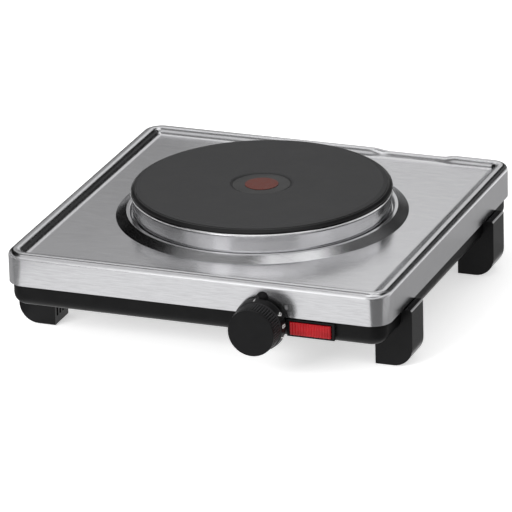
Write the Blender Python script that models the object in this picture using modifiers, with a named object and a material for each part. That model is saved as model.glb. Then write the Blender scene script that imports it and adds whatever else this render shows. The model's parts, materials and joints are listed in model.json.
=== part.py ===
"""A single-plate electric hot plate, modelled as the separate pieces it is assembled from.

Units are metres and +Z is up. Pieces are placed around the cooking plate's axis, and the empty
"burner_axis" carries that axis to its place in the object's frame, where the origin is the
centre of the bounding box's base and z = 0 is the ground. The knob is at the front, on -Y.
"""
import math

import bmesh
import bpy
from mathutils import Matrix, Vector

# ---------------------------------------------------------------- driving dimensions
GAP = 0.0003                    # clearance left between pieces that touch

PAN_HALF_X = 0.1447             # pressed top pan, half width and half depth
PAN_HALF_Y = 0.1432
PAN_CORNER = 0.0146
PAN_SHEET = 0.001
PAN_SKIRT_Z = 0.04375           # lower edge of the pan's wall
PANEL_Z = 0.0635                # flat panel between rim and collar
RIM_HEIGHT = 0.0042             # rim crest above the panel
RIM_ROUND = 0.0042              # radius of the rim's outer rounding
RIM_STEPS = ((0.0010, 0.0), (0.00181, -0.00024), (0.00169, -0.00070), (0.00145, -0.00111),
             (0.00150, -0.00117), (0.00140, -0.00073), (0.00070, -0.00025))
RIM_DIP = 0.0016                # how far the rear rim drops beside the plate
RIM_DIP_X = (0.038, 0.048, 0.092, 0.100)
PAN_HOLE_R = 0.088

TRAY_INSET = 0.0031             # tray wall, in from the pan's wall
TRAY_SHEET = 0.0012
TRAY_BOTTOM_Z = 0.0266
TRAY_TOP_Z = 0.052
TRAY_ROUND = 0.0085             # radius along the tray's lower edge
TRAY_HALF_X = PAN_HALF_X - TRAY_INSET
TRAY_HALF_Y = PAN_HALF_Y - TRAY_INSET
TRAY_CORNER = PAN_CORNER - TRAY_INSET
TRAY_FLOOR_Z = TRAY_BOTTOM_Z + TRAY_SHEET

FOOT_Y = 0.0911                 # centres of the feet, front and rear of the plate's axis
FOOT_LENGTH = 0.0244
FOOT_INNER_X = 0.1225
FOOT_OUTER_X = 0.1503
FOOT_ROUND = 0.0145
FOOT_TOP_Z = 0.0425
GROUND_Z = -0.0011              # what the rubber pads stand on
FOOT_SOLE_Z = GROUND_Z + 0.0006
FIXING_X = 0.1295               # screws that clamp foot, tray and pan together
PAD_R = 0.006

PLATE_TOP = 0.0222              # cooking face above the panel
PLATE_R = 0.0895                # 180 mm cooking face
PLATE_EDGE_R = 0.095
PLATE_SKIRT_R = 0.0926
RECESS_R = 0.0222
RECESS_DEPTH = 0.0012
MARKER_R = 0.0122

KNOB_X = 0.0527
KNOB_Z = 0.038
KNOB_FACE_Y = -0.166
KNOB_BACK_Y = -0.1466
KNOB_FACE_R = 0.0172
KNOB_SKIRT_R = 0.0193
KNOB_RIBS = 54
SHAFT_R = 0.003

LAMP_X = 0.0890                 # centre of the pilot lamp
LAMP_Z = 0.0361

GLAND_X = 0.078
GLAND_Z = 0.0383
GLAND_BORE_R = 0.0039
GLAND_END_Y = 0.148

BRACKET_SCREW = 0.014           # regulator screws, either side of the shaft
SPINDLE_R = 0.002               # shaft inside the regulator
CAM_Y = -0.1255
CAM_LOW_R = 0.0034
CAM_RISE = 0.0013               # growth of the cam's radius in one turn
CAM_STEP_BACK = 30              # degrees from the cam's step to the follower at rest
FOLLOWER_X = KNOB_X - 0.0067    # hinge of the lever that hangs beside the cam
FOLLOWER_Z = KNOB_Z + 0.012
TAB_XS = (0.047, 0.0585)        # regulator's line and load tabs
TAB_Z = 0.0465

MAINS_X = 0.078                 # mains terminal block and its four lead entries
MAINS_Y = 0.112
MAINS_Z = 0.038
MAINS_HOLES = (0.066, 0.074, 0.082, 0.090)

TERMINAL_X = -0.049             # ceramic terminal block under the plate
LIMITER_X = 0.040
LIMITER_Y = -0.012
COIL_Z = PANEL_Z + 0.0111
TAIL_RUN_Z = PANEL_Z + 0.0055
TAIL_END_Z = PANEL_Z + 0.0037
COIL_R = 0.0018
TAIL_R = 0.0006
LEAD_R = 0.0012

FRAME_SHIFT = (0, -(KNOB_FACE_Y + GLAND_END_Y) / 2, -GROUND_Z)

COLOURS = {                     # linear red, green, blue; roughness; metallic
    "brushed_steel": ((0.58, 0.58, 0.60), 0.32, 1.0),
    "polished_steel": ((0.72, 0.72, 0.73), 0.12, 1.0),
    "zinc_steel": ((0.45, 0.46, 0.48), 0.42, 1.0),
    "cast_iron": ((0.045, 0.045, 0.048), 0.62, 0.2),
    "marker_enamel": ((0.19, 0.035, 0.024), 0.6, 0.0),
    "tray_paint": ((0.012, 0.012, 0.012), 0.42, 0.0),
    "foot_plastic": ((0.018, 0.018, 0.019), 0.45, 0.0),
    "knob_plastic": ((0.020, 0.020, 0.020), 0.5, 0.0),
    "rubber": ((0.03, 0.03, 0.03), 0.85, 0.0),
    "lens_red": ((0.62, 0.015, 0.02), 0.2, 0.0),
    "ceramic": ((0.74, 0.70, 0.62), 0.6, 0.0),
    "compound": ((0.42, 0.39, 0.34), 0.9, 0.0),
    "resistance_wire": ((0.28, 0.25, 0.23), 0.45, 1.0),
    "phenolic": ((0.10, 0.055, 0.03), 0.5, 0.0),
    "brass": ((0.71, 0.50, 0.19), 0.3, 1.0),
    "glass": ((0.85, 0.87, 0.88), 0.05, 0.0),
    "lead_sleeve": ((0.45, 0.10, 0.06), 0.6, 0.0),
    "earth_sleeve": ((0.35, 0.42, 0.05), 0.6, 0.0),
}


# ---------------------------------------------------------------- scene helpers
def clear_scene():
    for item in list(bpy.data.objects):
        bpy.data.objects.remove(item, do_unlink=True)


def new_collection(name):
    group = bpy.data.collections.new(name)
    bpy.context.scene.collection.children.link(group)
    return group


def material(name):
    """The Principled material of that name, made once."""
    look = bpy.data.materials.get(name)
    if look is None:
        colour, roughness, metallic = COLOURS[name]
        look = bpy.data.materials.new(name)
        look.use_nodes = True
        shader = look.node_tree.nodes["Principled BSDF"]
        shader.inputs["Base Color"].default_value = (*colour, 1.0)
        shader.inputs["Roughness"].default_value = roughness
        shader.inputs["Metallic"].default_value = metallic
    return look


def place(name, data, look, location=(0, 0, 0), rotation=(0, 0, 0)):
    """Put a mesh or curve into the burner's collection, on the plate's axis."""
    item = bpy.data.objects.new(name, data)
    item.location = location
    item.rotation_euler = rotation
    item.parent = axis_empty
    parts.objects.link(item)
    if look:
        data.materials.append(material(look))
    return item


def hide_as_cutter(item):
    parts.objects.unlink(item)
    cutters.objects.link(item)
    item.hide_render = True
    item.display_type = "WIRE"
    return item


def boolean(target, tool, operation="DIFFERENCE"):
    """Cut the tool from the target, or join it on, and keep the tool as a guide."""
    hide_as_cutter(tool)
    step = target.modifiers.new(tool.name, "BOOLEAN")
    step.operation = operation
    step.object = tool
    step.solver = "EXACT"
    return target


def bevel(item, width, segments=1, angle=40):
    step = item.modifiers.new("edges", "BEVEL")
    step.width = width
    step.segments = segments
    step.limit_method = "ANGLE"
    step.angle_limit = math.radians(angle)
    return item


# ---------------------------------------------------------------- shape helpers
FRONTWARD = (math.radians(90), 0, 0)       # turns a local +Z axis to face the front


def mesh_from(bm, name):
    data = bpy.data.meshes.new(name)
    bm.to_mesh(data)
    bm.free()
    return data


def block(name, size, centre, look=None):
    bm = bmesh.new()
    bmesh.ops.create_cube(bm, size=1.0, matrix=Matrix.Diagonal((*size, 1.0)))
    return place(name, mesh_from(bm, name), look, centre)


def blocks(name, size, centres):
    """Equal boxes in one mesh, used as one cutter."""
    bm = bmesh.new()
    for centre in centres:
        bmesh.ops.create_cube(bm, size=1.0,
                              matrix=Matrix.Translation(centre) @ Matrix.Diagonal((*size, 1.0)))
    return place(name, mesh_from(bm, name), None)


def rods(name, radius, length, centres, rotation=(0, 0, 0), sides=16):
    """Equal cylinders in one mesh, each centred on one of the points, used as one cutter."""
    bm = bmesh.new()
    turn = Matrix.Rotation(rotation[0], 4, "X") @ Matrix.Rotation(rotation[1], 4, "Y")
    for centre in centres:
        bmesh.ops.create_cone(bm, cap_ends=True, segments=sides, radius1=radius,
                              radius2=radius, depth=length,
                              matrix=Matrix.Translation(centre) @ turn)
    return place(name, mesh_from(bm, name), None)


def turned(name, profile, look, location=(0, 0, 0), rotation=(0, 0, 0), steps=24, closed=False):
    """Revolve (radius, height) points; they run down the outer side from the top."""
    bm = bmesh.new()
    points = [bm.verts.new((radius, 0, height)) for radius, height in profile]
    for first, second in zip(points, points[1:]):
        bm.edges.new((first, second))
    if closed:
        bm.edges.new((points[-1], points[0]))
    item = place(name, mesh_from(bm, name), look, location, rotation)
    screw = item.modifiers.new("turn", "SCREW")
    screw.steps = steps
    screw.render_steps = steps
    screw.use_merge_vertices = True
    screw.merge_threshold = 0.00001
    screw.use_smooth_shade = True
    return item


def slab(name, outline, thickness, look, location=(0, 0, 0), rotation=(0, 0, 0)):
    """Extrude a flat closed outline, half its thickness to each side, as a mesh."""
    curve = bpy.data.curves.new(name, "CURVE")
    curve.dimensions = "2D"
    curve.fill_mode = "BOTH"
    curve.extrude = thickness / 2
    line = curve.splines.new("POLY")
    line.points.add(len(outline) - 1)
    for point, (x, y) in zip(line.points, outline):
        point.co = (x, y, 0, 1)
    line.use_cyclic_u = True
    drawn = bpy.data.objects.new(name + "_outline", curve)
    parts.objects.link(drawn)
    bpy.context.view_layer.update()
    graph = bpy.context.evaluated_depsgraph_get()
    data = bpy.data.meshes.new_from_object(drawn.evaluated_get(graph))
    bpy.data.objects.remove(drawn, do_unlink=True)
    bm = bmesh.new()
    bm.from_mesh(data)
    bmesh.ops.remove_doubles(bm, verts=bm.verts, dist=0.000001)
    bmesh.ops.recalc_face_normals(bm, faces=bm.faces)
    bm.to_mesh(data)
    bm.free()
    data.name = name
    return place(name, data, look, location, rotation)


def wire(name, points, radius, look, scales=None):
    """A round wire along the points; scales thins it where a coil turns into its tails."""
    curve = bpy.data.curves.new(name, "CURVE")
    curve.dimensions = "3D"
    curve.bevel_depth = radius
    curve.bevel_resolution = 2
    curve.use_fill_caps = True
    line = curve.splines.new("POLY")
    line.points.add(len(points) - 1)
    for index, (point, place_at) in enumerate(zip(line.points, points)):
        point.co = (*place_at, 1)
        point.radius = scales[index] if scales else 1.0
    return place(name, curve, look)


def arc(centre, radius, start, end, steps):
    """Points on a circle from one angle to another, in degrees."""
    return [(centre[0] + radius * math.cos(math.radians(start + (end - start) * k / steps)),
             centre[1] + radius * math.sin(math.radians(start + (end - start) * k / steps)))
            for k in range(steps + 1)]


def rounded_rectangle(half_x, half_y, radius, steps):
    """Anticlockwise outline, starting on the right at the rear corner."""
    outline = []
    for quarter, (side_x, side_y) in enumerate(((1, 1), (-1, 1), (-1, -1), (1, -1))):
        centre = (side_x * (half_x - radius), side_y * (half_y - radius))
        outline += arc(centre, radius, 90 * quarter, 90 * (quarter + 1), steps)
    return outline


def smooth_route(stops, steps=2):
    """Points on a smooth curve through the stops (Catmull-Rom)."""
    stops = [Vector(stop) for stop in stops]
    ends = [2 * stops[0] - stops[1], *stops, 2 * stops[-1] - stops[-2]]
    route = []
    for p0, p1, p2, p3 in zip(ends, ends[1:], ends[2:], ends[3:]):
        for k in range(steps):
            t = k / steps
            route.append(0.5 * (2 * p1 + (p2 - p0) * t + (2 * p0 - 5 * p1 + 4 * p2 - p3) * t ** 2
                                + (3 * p1 - p0 - 3 * p2 + p3) * t ** 3))
    return [*route, stops[-1]]


def push_in(bm, face, steps):
    """Press a face step by step: each step moves its edge in and carries it along its normal."""
    face.normal_update()
    for inset, travel in steps:
        bmesh.ops.inset_region(bm, faces=[face], thickness=inset, depth=travel,
                               use_even_offset=True, use_boundary=True)


def rounding_steps(radius, count):
    """Inset and travel of each step over a quarter round, wall to top."""
    turns = [math.radians(90 * k / count) for k in range(count + 1)]
    return [(radius * (math.cos(a) - math.cos(b)), radius * (math.sin(b) - math.sin(a)))
            for a, b in zip(turns, turns[1:])]


def solidify(item, thickness):
    step = item.modifiers.new("sheet", "SOLIDIFY")
    step.thickness = thickness
    step.offset = -1
    step.use_even_offset = True
    return item


# ---------------------------------------------------------------- casing
def dip_depth(x):
    """How far the rear rim is lowered at x."""
    start, full, still_full, end = RIM_DIP_X
    rise = min(max((x - start) / (full - start), 0), 1)
    fall = min(max((end - x) / (end - still_full), 0), 1)
    return RIM_DIP * min(rise, fall)


def top_pan():
    """Pressed sheet: wall, rounded rim, sunk panel and raised collar with a ledge inside."""
    bm = bmesh.new()
    outline = rounded_rectangle(PAN_HALF_X, PAN_HALF_Y, PAN_CORNER, 5)
    rear_corner = 5 + 1                     # the dip's points go between the two rear corners
    outline[rear_corner:rear_corner] = [(x, PAN_HALF_Y) for x in reversed(RIM_DIP_X)]
    face = bm.faces.new([bm.verts.new((x, y, PAN_SKIRT_Z)) for x, y in outline])
    wall = PANEL_Z + RIM_HEIGHT - RIM_ROUND - PAN_SKIRT_Z
    push_in(bm, face, [(0.0, wall), *rounding_steps(RIM_ROUND, 4)])
    push_in(bm, face, RIM_STEPS)            # over the crest and down to the panel
    panel_edges = list(face.edges)
    bmesh.ops.delete(bm, geom=[face], context="FACES_ONLY")

    for vert in bm.verts:                   # the dip in the rear rim
        rise = (vert.co.z - PANEL_Z) / RIM_HEIGHT
        if vert.co.y > PAN_HALF_Y - 0.0135 and rise > 0.1:
            vert.co.z -= dip_depth(vert.co.x) * min(1.0, 1.4 * rise)

    collar = [(0.1064, 0.0), (0.0995, 0.0034), (0.0985, 0.0040), (0.0973, 0.0041),
              (0.0962, 0.0037), (0.0956, 0.0028), (0.0955, 0.0010), (0.0949, 0.0007),
              (PAN_HOLE_R, 0.0007)]
    ring = bmesh.ops.create_circle(bm, cap_ends=False, segments=48, radius=collar[0][0],
                                   matrix=Matrix.Translation((0, 0, PANEL_Z)))["verts"]
    edges = list({edge for vert in ring for edge in vert.link_edges})
    bmesh.ops.triangle_fill(bm, use_beauty=True, edges=panel_edges + edges, normal=(0, 0, 1))
    for radius, height in collar[1:]:
        grown = bmesh.ops.extrude_edge_only(bm, edges=edges)["geom"]
        for vert in (item for item in grown if isinstance(item, bmesh.types.BMVert)):
            vert.co = (*(vert.co.xy.normalized() * radius), PANEL_Z + height)
        edges = [item for item in grown if isinstance(item, bmesh.types.BMEdge)
                 and len(item.link_faces) == 1]
    bmesh.ops.recalc_face_normals(bm, faces=bm.faces)
    pan = solidify(place("top_pan", mesh_from(bm, "top_pan"), "brushed_steel"), PAN_SHEET)
    boolean(pan, rods("pointer_hole", 0.0024, 0.02, [(KNOB_X + 0.001, -PAN_HALF_Y, 0.057)],
                      FRONTWARD))
    return pan


def base_tray():
    """Pressed black tray with vents, set in under the pan."""
    bm = bmesh.new()
    outline = reversed(rounded_rectangle(TRAY_HALF_X, TRAY_HALF_Y, TRAY_CORNER, 4))
    face = bm.faces.new([bm.verts.new((x, y, TRAY_TOP_Z)) for x, y in outline])
    wall = TRAY_TOP_Z - TRAY_BOTTOM_Z - TRAY_ROUND
    push_in(bm, face, [(0.0, wall), *rounding_steps(TRAY_ROUND, 5)])
    tray = solidify(place("base_tray", mesh_from(bm, "base_tray"), "tray_paint"), TRAY_SHEET)
    deep = 0.02
    boolean(tray, rods("shaft_hole", 0.0042, deep, [(KNOB_X, -TRAY_HALF_Y, KNOB_Z)], FRONTWARD))
    boolean(tray, rods("bracket_screw_holes", 0.0022, deep,
                       [(KNOB_X + side * BRACKET_SCREW, -TRAY_HALF_Y, KNOB_Z)
                        for side in (-1, 1)], FRONTWARD, 12))
    boolean(tray, block("lamp_window", (0.0306, deep, 0.0082), (LAMP_X, -TRAY_HALF_Y, LAMP_Z)))
    boolean(tray, rods("gland_hole", 0.0056, deep, [(GLAND_X, TRAY_HALF_Y, GLAND_Z)],
                       FRONTWARD, 20))
    boolean(tray, rods("fixing_holes", 0.0025, deep,
                       [(x, y, TRAY_BOTTOM_Z) for x in (-FIXING_X, FIXING_X)
                        for y in (-FOOT_Y, FOOT_Y)], sides=12))
    vents = [(x, row, TRAY_BOTTOM_Z) for row in (-0.055, 0.055)
             for x in (-0.045, -0.03, -0.015, 0.0, 0.015, 0.03, 0.045)]
    boolean(tray, blocks("vent_slots", (0.005, 0.045, deep), vents))
    boolean(tray, rods("block_screw_hole", 0.0019, deep, [(MAINS_X, MAINS_Y + 0.003, TRAY_BOTTOM_Z)],
                       sides=12))
    return tray


def foot_outline():
    """Cross-section of a right-hand foot, as (x, z), wrapping the tray's lower edge."""
    lip = 0.0008
    seat_z = TRAY_BOTTOM_Z - GAP
    seat_x = TRAY_HALF_X + GAP
    nest = (TRAY_HALF_X - TRAY_ROUND, TRAY_BOTTOM_Z + TRAY_ROUND)
    return [(FOOT_INNER_X, FOOT_SOLE_Z),
            *arc((FOOT_OUTER_X - FOOT_ROUND, FOOT_SOLE_Z + FOOT_ROUND), FOOT_ROUND, -90, 0, 8),
            (FOOT_OUTER_X, FOOT_TOP_Z - lip), (FOOT_OUTER_X - lip, FOOT_TOP_Z),
            (seat_x + lip, FOOT_TOP_Z), (seat_x, FOOT_TOP_Z - lip),
            *arc(nest, TRAY_ROUND + GAP, 0, -90, 5),
            (FOOT_INNER_X, seat_z)]


def foot(name, side, y):
    """Moulded foot with a screw well from below, a pad seat and ribs on its inner face."""
    outline = [(side * x, z) for x, z in foot_outline()]
    body = slab(name, outline, FOOT_LENGTH, "foot_plastic", (0, y, 0), FRONTWARD)
    boolean(body, rods(name + "_pad_seat", PAD_R + GAP, 0.0042,
                       [(side * FIXING_X, y, FOOT_SOLE_Z)], sides=20))
    boolean(body, rods(name + "_screw_well", 0.0045, 0.03, [(side * FIXING_X, y, -0.001)]))
    boolean(body, rods(name + "_screw_hole", 0.0025, 0.03, [(side * FIXING_X, y, 0.02)],
                       sides=12))
    grooves = [(side * FOOT_INNER_X, y + k * 0.0052, 0.0150) for k in (-1.5, -0.5, 0.5, 1.5)]
    boolean(body, blocks(name + "_grooves", (0.0024, 0.0026, 0.019), grooves))
    return body


def foot_pad(name, x, y):
    height, edge = 0.0023, 0.0004
    profile = [(0, height), (PAD_R, height), (PAD_R, edge), (PAD_R - edge, 0), (0, 0)]
    return turned(name, profile, "rubber", (x, y, GROUND_Z), steps=20)


def foot_screw(name, x, y):
    """Long pan-head screw from the foot's well up into the pan's post."""
    shank = 0.002
    profile = [(0, 0.046), (shank - 0.0004, 0.046), (shank, 0.0454), (shank, 0.0137),
               (0.0037, 0.0137), (0.0037, 0.0126), (0.0030, 0.0115), (0, 0.0112)]
    screw = turned(name, profile, "zinc_steel", (x, y, 0), steps=12)
    boolean(screw, block(name + "_slot", (0.005, 0.001, 0.0024), (x, y, 0.0112)))
    return screw


def pan_post(name, x, y):
    """Threaded post welded under the panel; the foot screw runs up into it."""
    top = PANEL_Z - PAN_SHEET - GAP
    foot_z = TRAY_FLOOR_Z + GAP
    bore = 0.0023
    profile = [(0, top), (0.004, top), (0.004, foot_z), (bore, foot_z), (bore, 0.05), (0, 0.05)]
    return turned(name, profile, "zinc_steel", (x, y, 0), steps=12)


def supports():
    for end, y in (("front", -FOOT_Y), ("rear", FOOT_Y)):
        for hand, side in (("left", -1), ("right", 1)):
            corner = f"{end}_{hand}"
            foot("foot_" + corner, side, y)
            foot_pad("foot_pad_" + corner, side * FIXING_X, y)
            foot_screw("foot_screw_" + corner, side * FIXING_X, y)
            pan_post("pan_post_" + corner, side * FIXING_X, y)


def reflector():
    """Bent sheet that keeps the plate's heat off the tray; a channel standing on its flanges."""
    half, flange, sheet = 0.098, 0.009, 0.0008
    low, high = TRAY_FLOOR_Z + GAP, 0.0455
    outer = [(-half - flange, low), (-half, low), (-half, high), (half, high), (half, low),
             (half + flange, low)]
    inner = [(half + flange, low + sheet), (half + sheet, low + sheet),
             (half + sheet, high + sheet), (-half - sheet, high + sheet),
             (-half - sheet, low + sheet), (-half - flange, low + sheet)]
    return slab("heat_reflector", outer + inner, 0.17, "polished_steel", (0, 0.002, 0), FRONTWARD)


# ---------------------------------------------------------------- cooking plate
def cast_plate():
    """Cast-iron plate: recess, chamfered edge, skirt, and ribbed pockets for the coils."""
    top = PLATE_TOP
    recess = top - RECESS_DEPTH
    profile = [(0, recess), (RECESS_R, recess), (RECESS_R + 0.0007, top), (PLATE_R - 0.0008, top),
               (PLATE_R, top - 0.0003), (PLATE_R + 0.001, top - 0.0004), (0.0937, 0.0207),
               (PLATE_EDGE_R, 0.0194), (PLATE_EDGE_R, 0.0187), (PLATE_SKIRT_R, 0.0185),
               (PLATE_SKIRT_R, 0.0022), (0.0886, 0.0022), (0.0886, 0.0135), (0.0595, 0.0135),
               (0.0595, 0.0085), (0.0565, 0.0085), (0.0565, 0.0135), (0.027, 0.0135),
               (0.027, 0.0085), (0.016, 0.0085), (0.012, 0.0034), (0.0029, 0.0034),
               (0.0029, 0.015), (0, 0.015)]
    return turned("cast_iron_plate", profile, "cast_iron", (0, 0, PANEL_Z), steps=48)


def marker_spot():
    base = PLATE_TOP - RECESS_DEPTH + 0.0001
    profile = [(0, base + 0.0004), (MARKER_R - 0.0003, base + 0.0004), (MARKER_R, base), (0, base)]
    return turned("marker_spot", profile, "marker_enamel", (0, 0, PANEL_Z), steps=40)


def spill_ring():
    """Polished ring standing on the pan's ledge, round the plate's skirt."""
    profile = [(0.0942, 0.0182), (0.0951, 0.0182), (0.0955, 0.0176), (0.0943, 0.003),
               (0.0940, 0.001), (0.0896, 0.001), (0.0896, 0.0018), (0.0932, 0.0018),
               (0.0934, 0.003), (0.0938, 0.0172)]
    return turned("spill_ring", profile, "polished_steel", (0, 0, PANEL_Z), steps=48, closed=True)


def heating_coil(name, outer_r, inner_r, head_pin_x, tail_pin_x):
    """Spiral coil in the plate's pocket; its thin tails drop and run to the terminal block."""
    side = 0.004                            # the two tails run this far each side of the -X ray
    turns, steps = 2, 19
    first = math.asin(side / outer_r)
    last = 2 * math.pi * turns - math.asin(side / inner_r)
    coil = []
    for k in range(turns * steps + 1):
        share = k / (turns * steps)
        angle = math.pi - first - (last - first) * share
        radius = outer_r + (inner_r - outer_r) * share
        coil.append((radius * math.cos(angle), radius * math.sin(angle), COIL_Z))
    head_x, tail_x = coil[0][0], coil[-1][0]
    head = [(head_pin_x, side, TAIL_END_Z), (head_pin_x, side, TAIL_RUN_Z),
            (head_x, side, TAIL_RUN_Z)]
    tail = [(tail_x, -side, TAIL_RUN_Z), (tail_pin_x, -side, TAIL_RUN_Z),
            (tail_pin_x, -side, TAIL_END_Z)]
    thin = TAIL_R / COIL_R
    return wire(name, head + coil + tail, COIL_R, "resistance_wire",
                [thin] * 3 + [1.0] * len(coil) + [thin] * 3)


def embedding_compound():
    """Pressed ring that closes the pockets from below, slotted for the coil tails."""
    profile = [(0.0274, 0.0089), (0.0562, 0.0089), (0.0562, 0.0082), (0.0598, 0.0082),
               (0.0598, 0.0089), (0.0882, 0.0089), (0.0882, 0.0067), (0.0274, 0.0067)]
    ring = turned("embedding_compound", profile, "compound", (0, 0, PANEL_Z), steps=32,
                  closed=True)
    return boolean(ring, block("tail_slot", (0.0575, 0.013, 0.01), (-0.05825, 0, PANEL_Z + 0.008)))


def bottom_cover():
    """Shallow sheet dish under the compound, with a window for the coil tails."""
    profile = [(0.0876, 0.0063), (0.0882, 0.0063), (0.0882, 0.0037), (0.0130, 0.0037),
               (0.0130, 0.0043), (0.0876, 0.0043)]
    cover = turned("plate_bottom_cover", profile, "zinc_steel", (0, 0, PANEL_Z), steps=32,
                   closed=True)
    return boolean(cover, block("tail_window", (0.024, 0.013, 0.01), (TERMINAL_X, 0, PANEL_Z)))


def clamping():
    """Stud, bridge, washer, earth tab and nut that pull the plate down onto the pan."""
    top, low = 0.0031, -0.0006
    sheet = 0.002
    half = [(0.076, top), (0.084, low), (0.100, low)]
    upper = [(-y, z) for y, z in reversed(half)] + half
    under = [(y, z - sheet) for y, z in reversed(upper)]
    along_y = (math.radians(90), 0, math.radians(90))
    bridge = slab("clamp_bridge", upper + under, 0.02, "zinc_steel", (0, 0, PANEL_Z), along_y)
    boolean(bridge, rods("bridge_hole", 0.0028, 0.02, [(0, 0, PANEL_Z)]))

    stud = [(0, 0.0147), (0.0025, 0.0147), (0.0025, -0.0081), (0.0021, -0.0085), (0, -0.0085)]
    turned("centre_stud", stud, "zinc_steel", (0, 0, PANEL_Z), steps=16)
    washer = [(0.0028, 0.0008), (0.0055, 0.0008), (0.0055, -0.0002), (0.0028, -0.0002)]
    turned("stud_washer", washer, "zinc_steel", (0, 0, PANEL_Z), steps=20, closed=True)
    tab = block("earth_tab", (0.009, 0.022, 0.0008), (0, 0.006, PANEL_Z - 0.0009), "brass")
    boolean(tab, rods("earth_tab_hole", 0.0028, 0.01, [(0, 0, PANEL_Z)]))
    hexagon = arc((0, 0), 0.0046, 0, 300, 5)
    nut = slab("stud_nut", hexagon, 0.004, "zinc_steel", (0, 0, PANEL_Z - 0.0036))
    boolean(nut, rods("nut_bore", 0.0028, 0.02, [(0, 0, PANEL_Z)]))


def plate_terminals():
    """Ceramic block where the coil tails end, with four screw wells from below."""
    body = block("plate_terminal_block", (0.028, 0.018, 0.0114),
                 (TERMINAL_X, 0, PANEL_Z - 0.0023), "ceramic")
    bevel(body, 0.0008)
    wells = [(TERMINAL_X + x, y, PANEL_Z - 0.008) for x in (-0.008, 0.008) for y in (-0.0045, 0.0045)]
    return boolean(body, rods("terminal_wells", 0.0022, 0.008, wells, sides=12))


def limiter():
    profile = [(0, 0.0034), (0.008, 0.0034), (0.008, -0.0015), (0.0062, -0.0015),
               (0.0062, -0.006), (0, -0.006)]
    return turned("temperature_limiter", profile, "phenolic", (LIMITER_X, LIMITER_Y, PANEL_Z),
                  steps=20)


def cooking_plate():
    cast_plate()
    marker_spot()
    spill_ring()
    heating_coil("heating_coil_outer", 0.0845, 0.0635, -0.056, -0.056)
    heating_coil("heating_coil_inner", 0.0525, 0.0315, -0.044, -0.040)
    embedding_compound()
    bottom_cover()
    clamping()
    plate_terminals()
    limiter()


# ---------------------------------------------------------------- control
def control_knob():
    """Ribbed grip over a smooth dial skirt, hollow behind, with a keyed hub."""
    depth = KNOB_BACK_Y - KNOB_FACE_Y
    grip_r, groove = 0.0181, 0.0006
    grip_low, grip_high = 0.0055, depth - 0.0011
    profile = [(0, depth), (KNOB_FACE_R - 0.0007, depth), (KNOB_FACE_R, depth - 0.0006),
               (KNOB_FACE_R, grip_high), (grip_r - groove, 0.0066), (0.0185, 0.0060),
               (KNOB_SKIRT_R, 0.0008), (KNOB_SKIRT_R, 0), (0, 0)]
    axis_point = (KNOB_X, KNOB_BACK_Y, KNOB_Z)
    knob = turned("control_knob", profile, "knob_plastic", axis_point, FRONTWARD, steps=40)

    bm = bmesh.new()                        # grip ribs: every other corner of a cone drawn in
    bmesh.ops.create_cone(bm, cap_ends=True, segments=2 * KNOB_RIBS, radius1=grip_r,
                          radius2=KNOB_FACE_R, depth=grip_high - grip_low,
                          matrix=Matrix.Translation((0, 0, (grip_low + grip_high) / 2)))
    for vert in bm.verts:
        corner = round(math.atan2(vert.co.y, vert.co.x) * KNOB_RIBS / math.pi)
        if corner % 2:
            vert.co.xy *= 1 - groove / grip_r
    ribs = place("knob_ribs", mesh_from(bm, "knob_ribs"), None, axis_point, FRONTWARD)
    boolean(knob, ribs, "UNION")

    hub_r, wall_r = 0.0062, 0.0155
    hollow = [(wall_r, depth - 0.0025), (wall_r, -0.001), (hub_r, -0.001), (hub_r, depth - 0.0025)]
    boolean(knob, turned("knob_hollow", hollow, None, axis_point, FRONTWARD, 32, closed=True))
    bore_r, key = SHAFT_R + GAP, 0.0029
    flat = math.degrees(math.acos(key / bore_r))
    outline = arc((0, 0), bore_r, 90 + flat, 450 - flat, 14)
    return boolean(knob, slab("knob_bore", outline, 0.03, None,
                              (KNOB_X, KNOB_BACK_Y, KNOB_Z), FRONTWARD))


def control_shaft():
    """Shaft with a flat for the knob, stepped down inside the regulator."""
    front = 0.0145                          # reach in front of the knob's back
    step_back, end = -0.0116, -0.0335
    profile = [(0, front), (SHAFT_R - 0.0004, front), (SHAFT_R, front - 0.0004),
               (SHAFT_R, step_back), (SPINDLE_R, step_back), (SPINDLE_R, end), (0, end)]
    shaft = turned("control_shaft", profile, "zinc_steel", (KNOB_X, KNOB_BACK_Y, KNOB_Z),
                   FRONTWARD, steps=20)
    flat_height, flat_length = 0.0017, 0.017
    return boolean(shaft, block("shaft_flat", (0.008, flat_length, 0.004),
                                (KNOB_X, KNOB_BACK_Y + 0.0006 - flat_length / 2,
                                 KNOB_Z + flat_height + 0.002)))


def knob_clip():
    """Arched leaf spring between the shaft's flat and the key of the knob's bore."""
    top = [(-0.004, 0.00225), (0.0, 0.0026), (0.004, 0.00225)]
    under = [(y, z - 0.00025) for y, z in reversed(top)]
    return slab("knob_clip", top + under, 0.003, "polished_steel",
                (KNOB_X, KNOB_BACK_Y - 0.009, KNOB_Z), (math.radians(90), 0, math.radians(90)))


def cam():
    """Spiral cam; its radius grows steadily, so the follower rises steadily as the knob turns."""
    outline = []
    count = 40
    for k in range(count + 1):
        angle = math.radians(180 - CAM_STEP_BACK + 360 * k / count)
        radius = CAM_LOW_R + CAM_RISE * k / count
        outline.append((radius * math.cos(angle), radius * math.sin(angle)))
    body = slab("control_cam", outline, 0.005, "phenolic", (KNOB_X, CAM_Y, KNOB_Z), FRONTWARD)
    return boolean(body, rods("cam_bore", SPINDLE_R + GAP, 0.02, [(KNOB_X, CAM_Y, KNOB_Z)],
                              FRONTWARD, 12))


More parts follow.
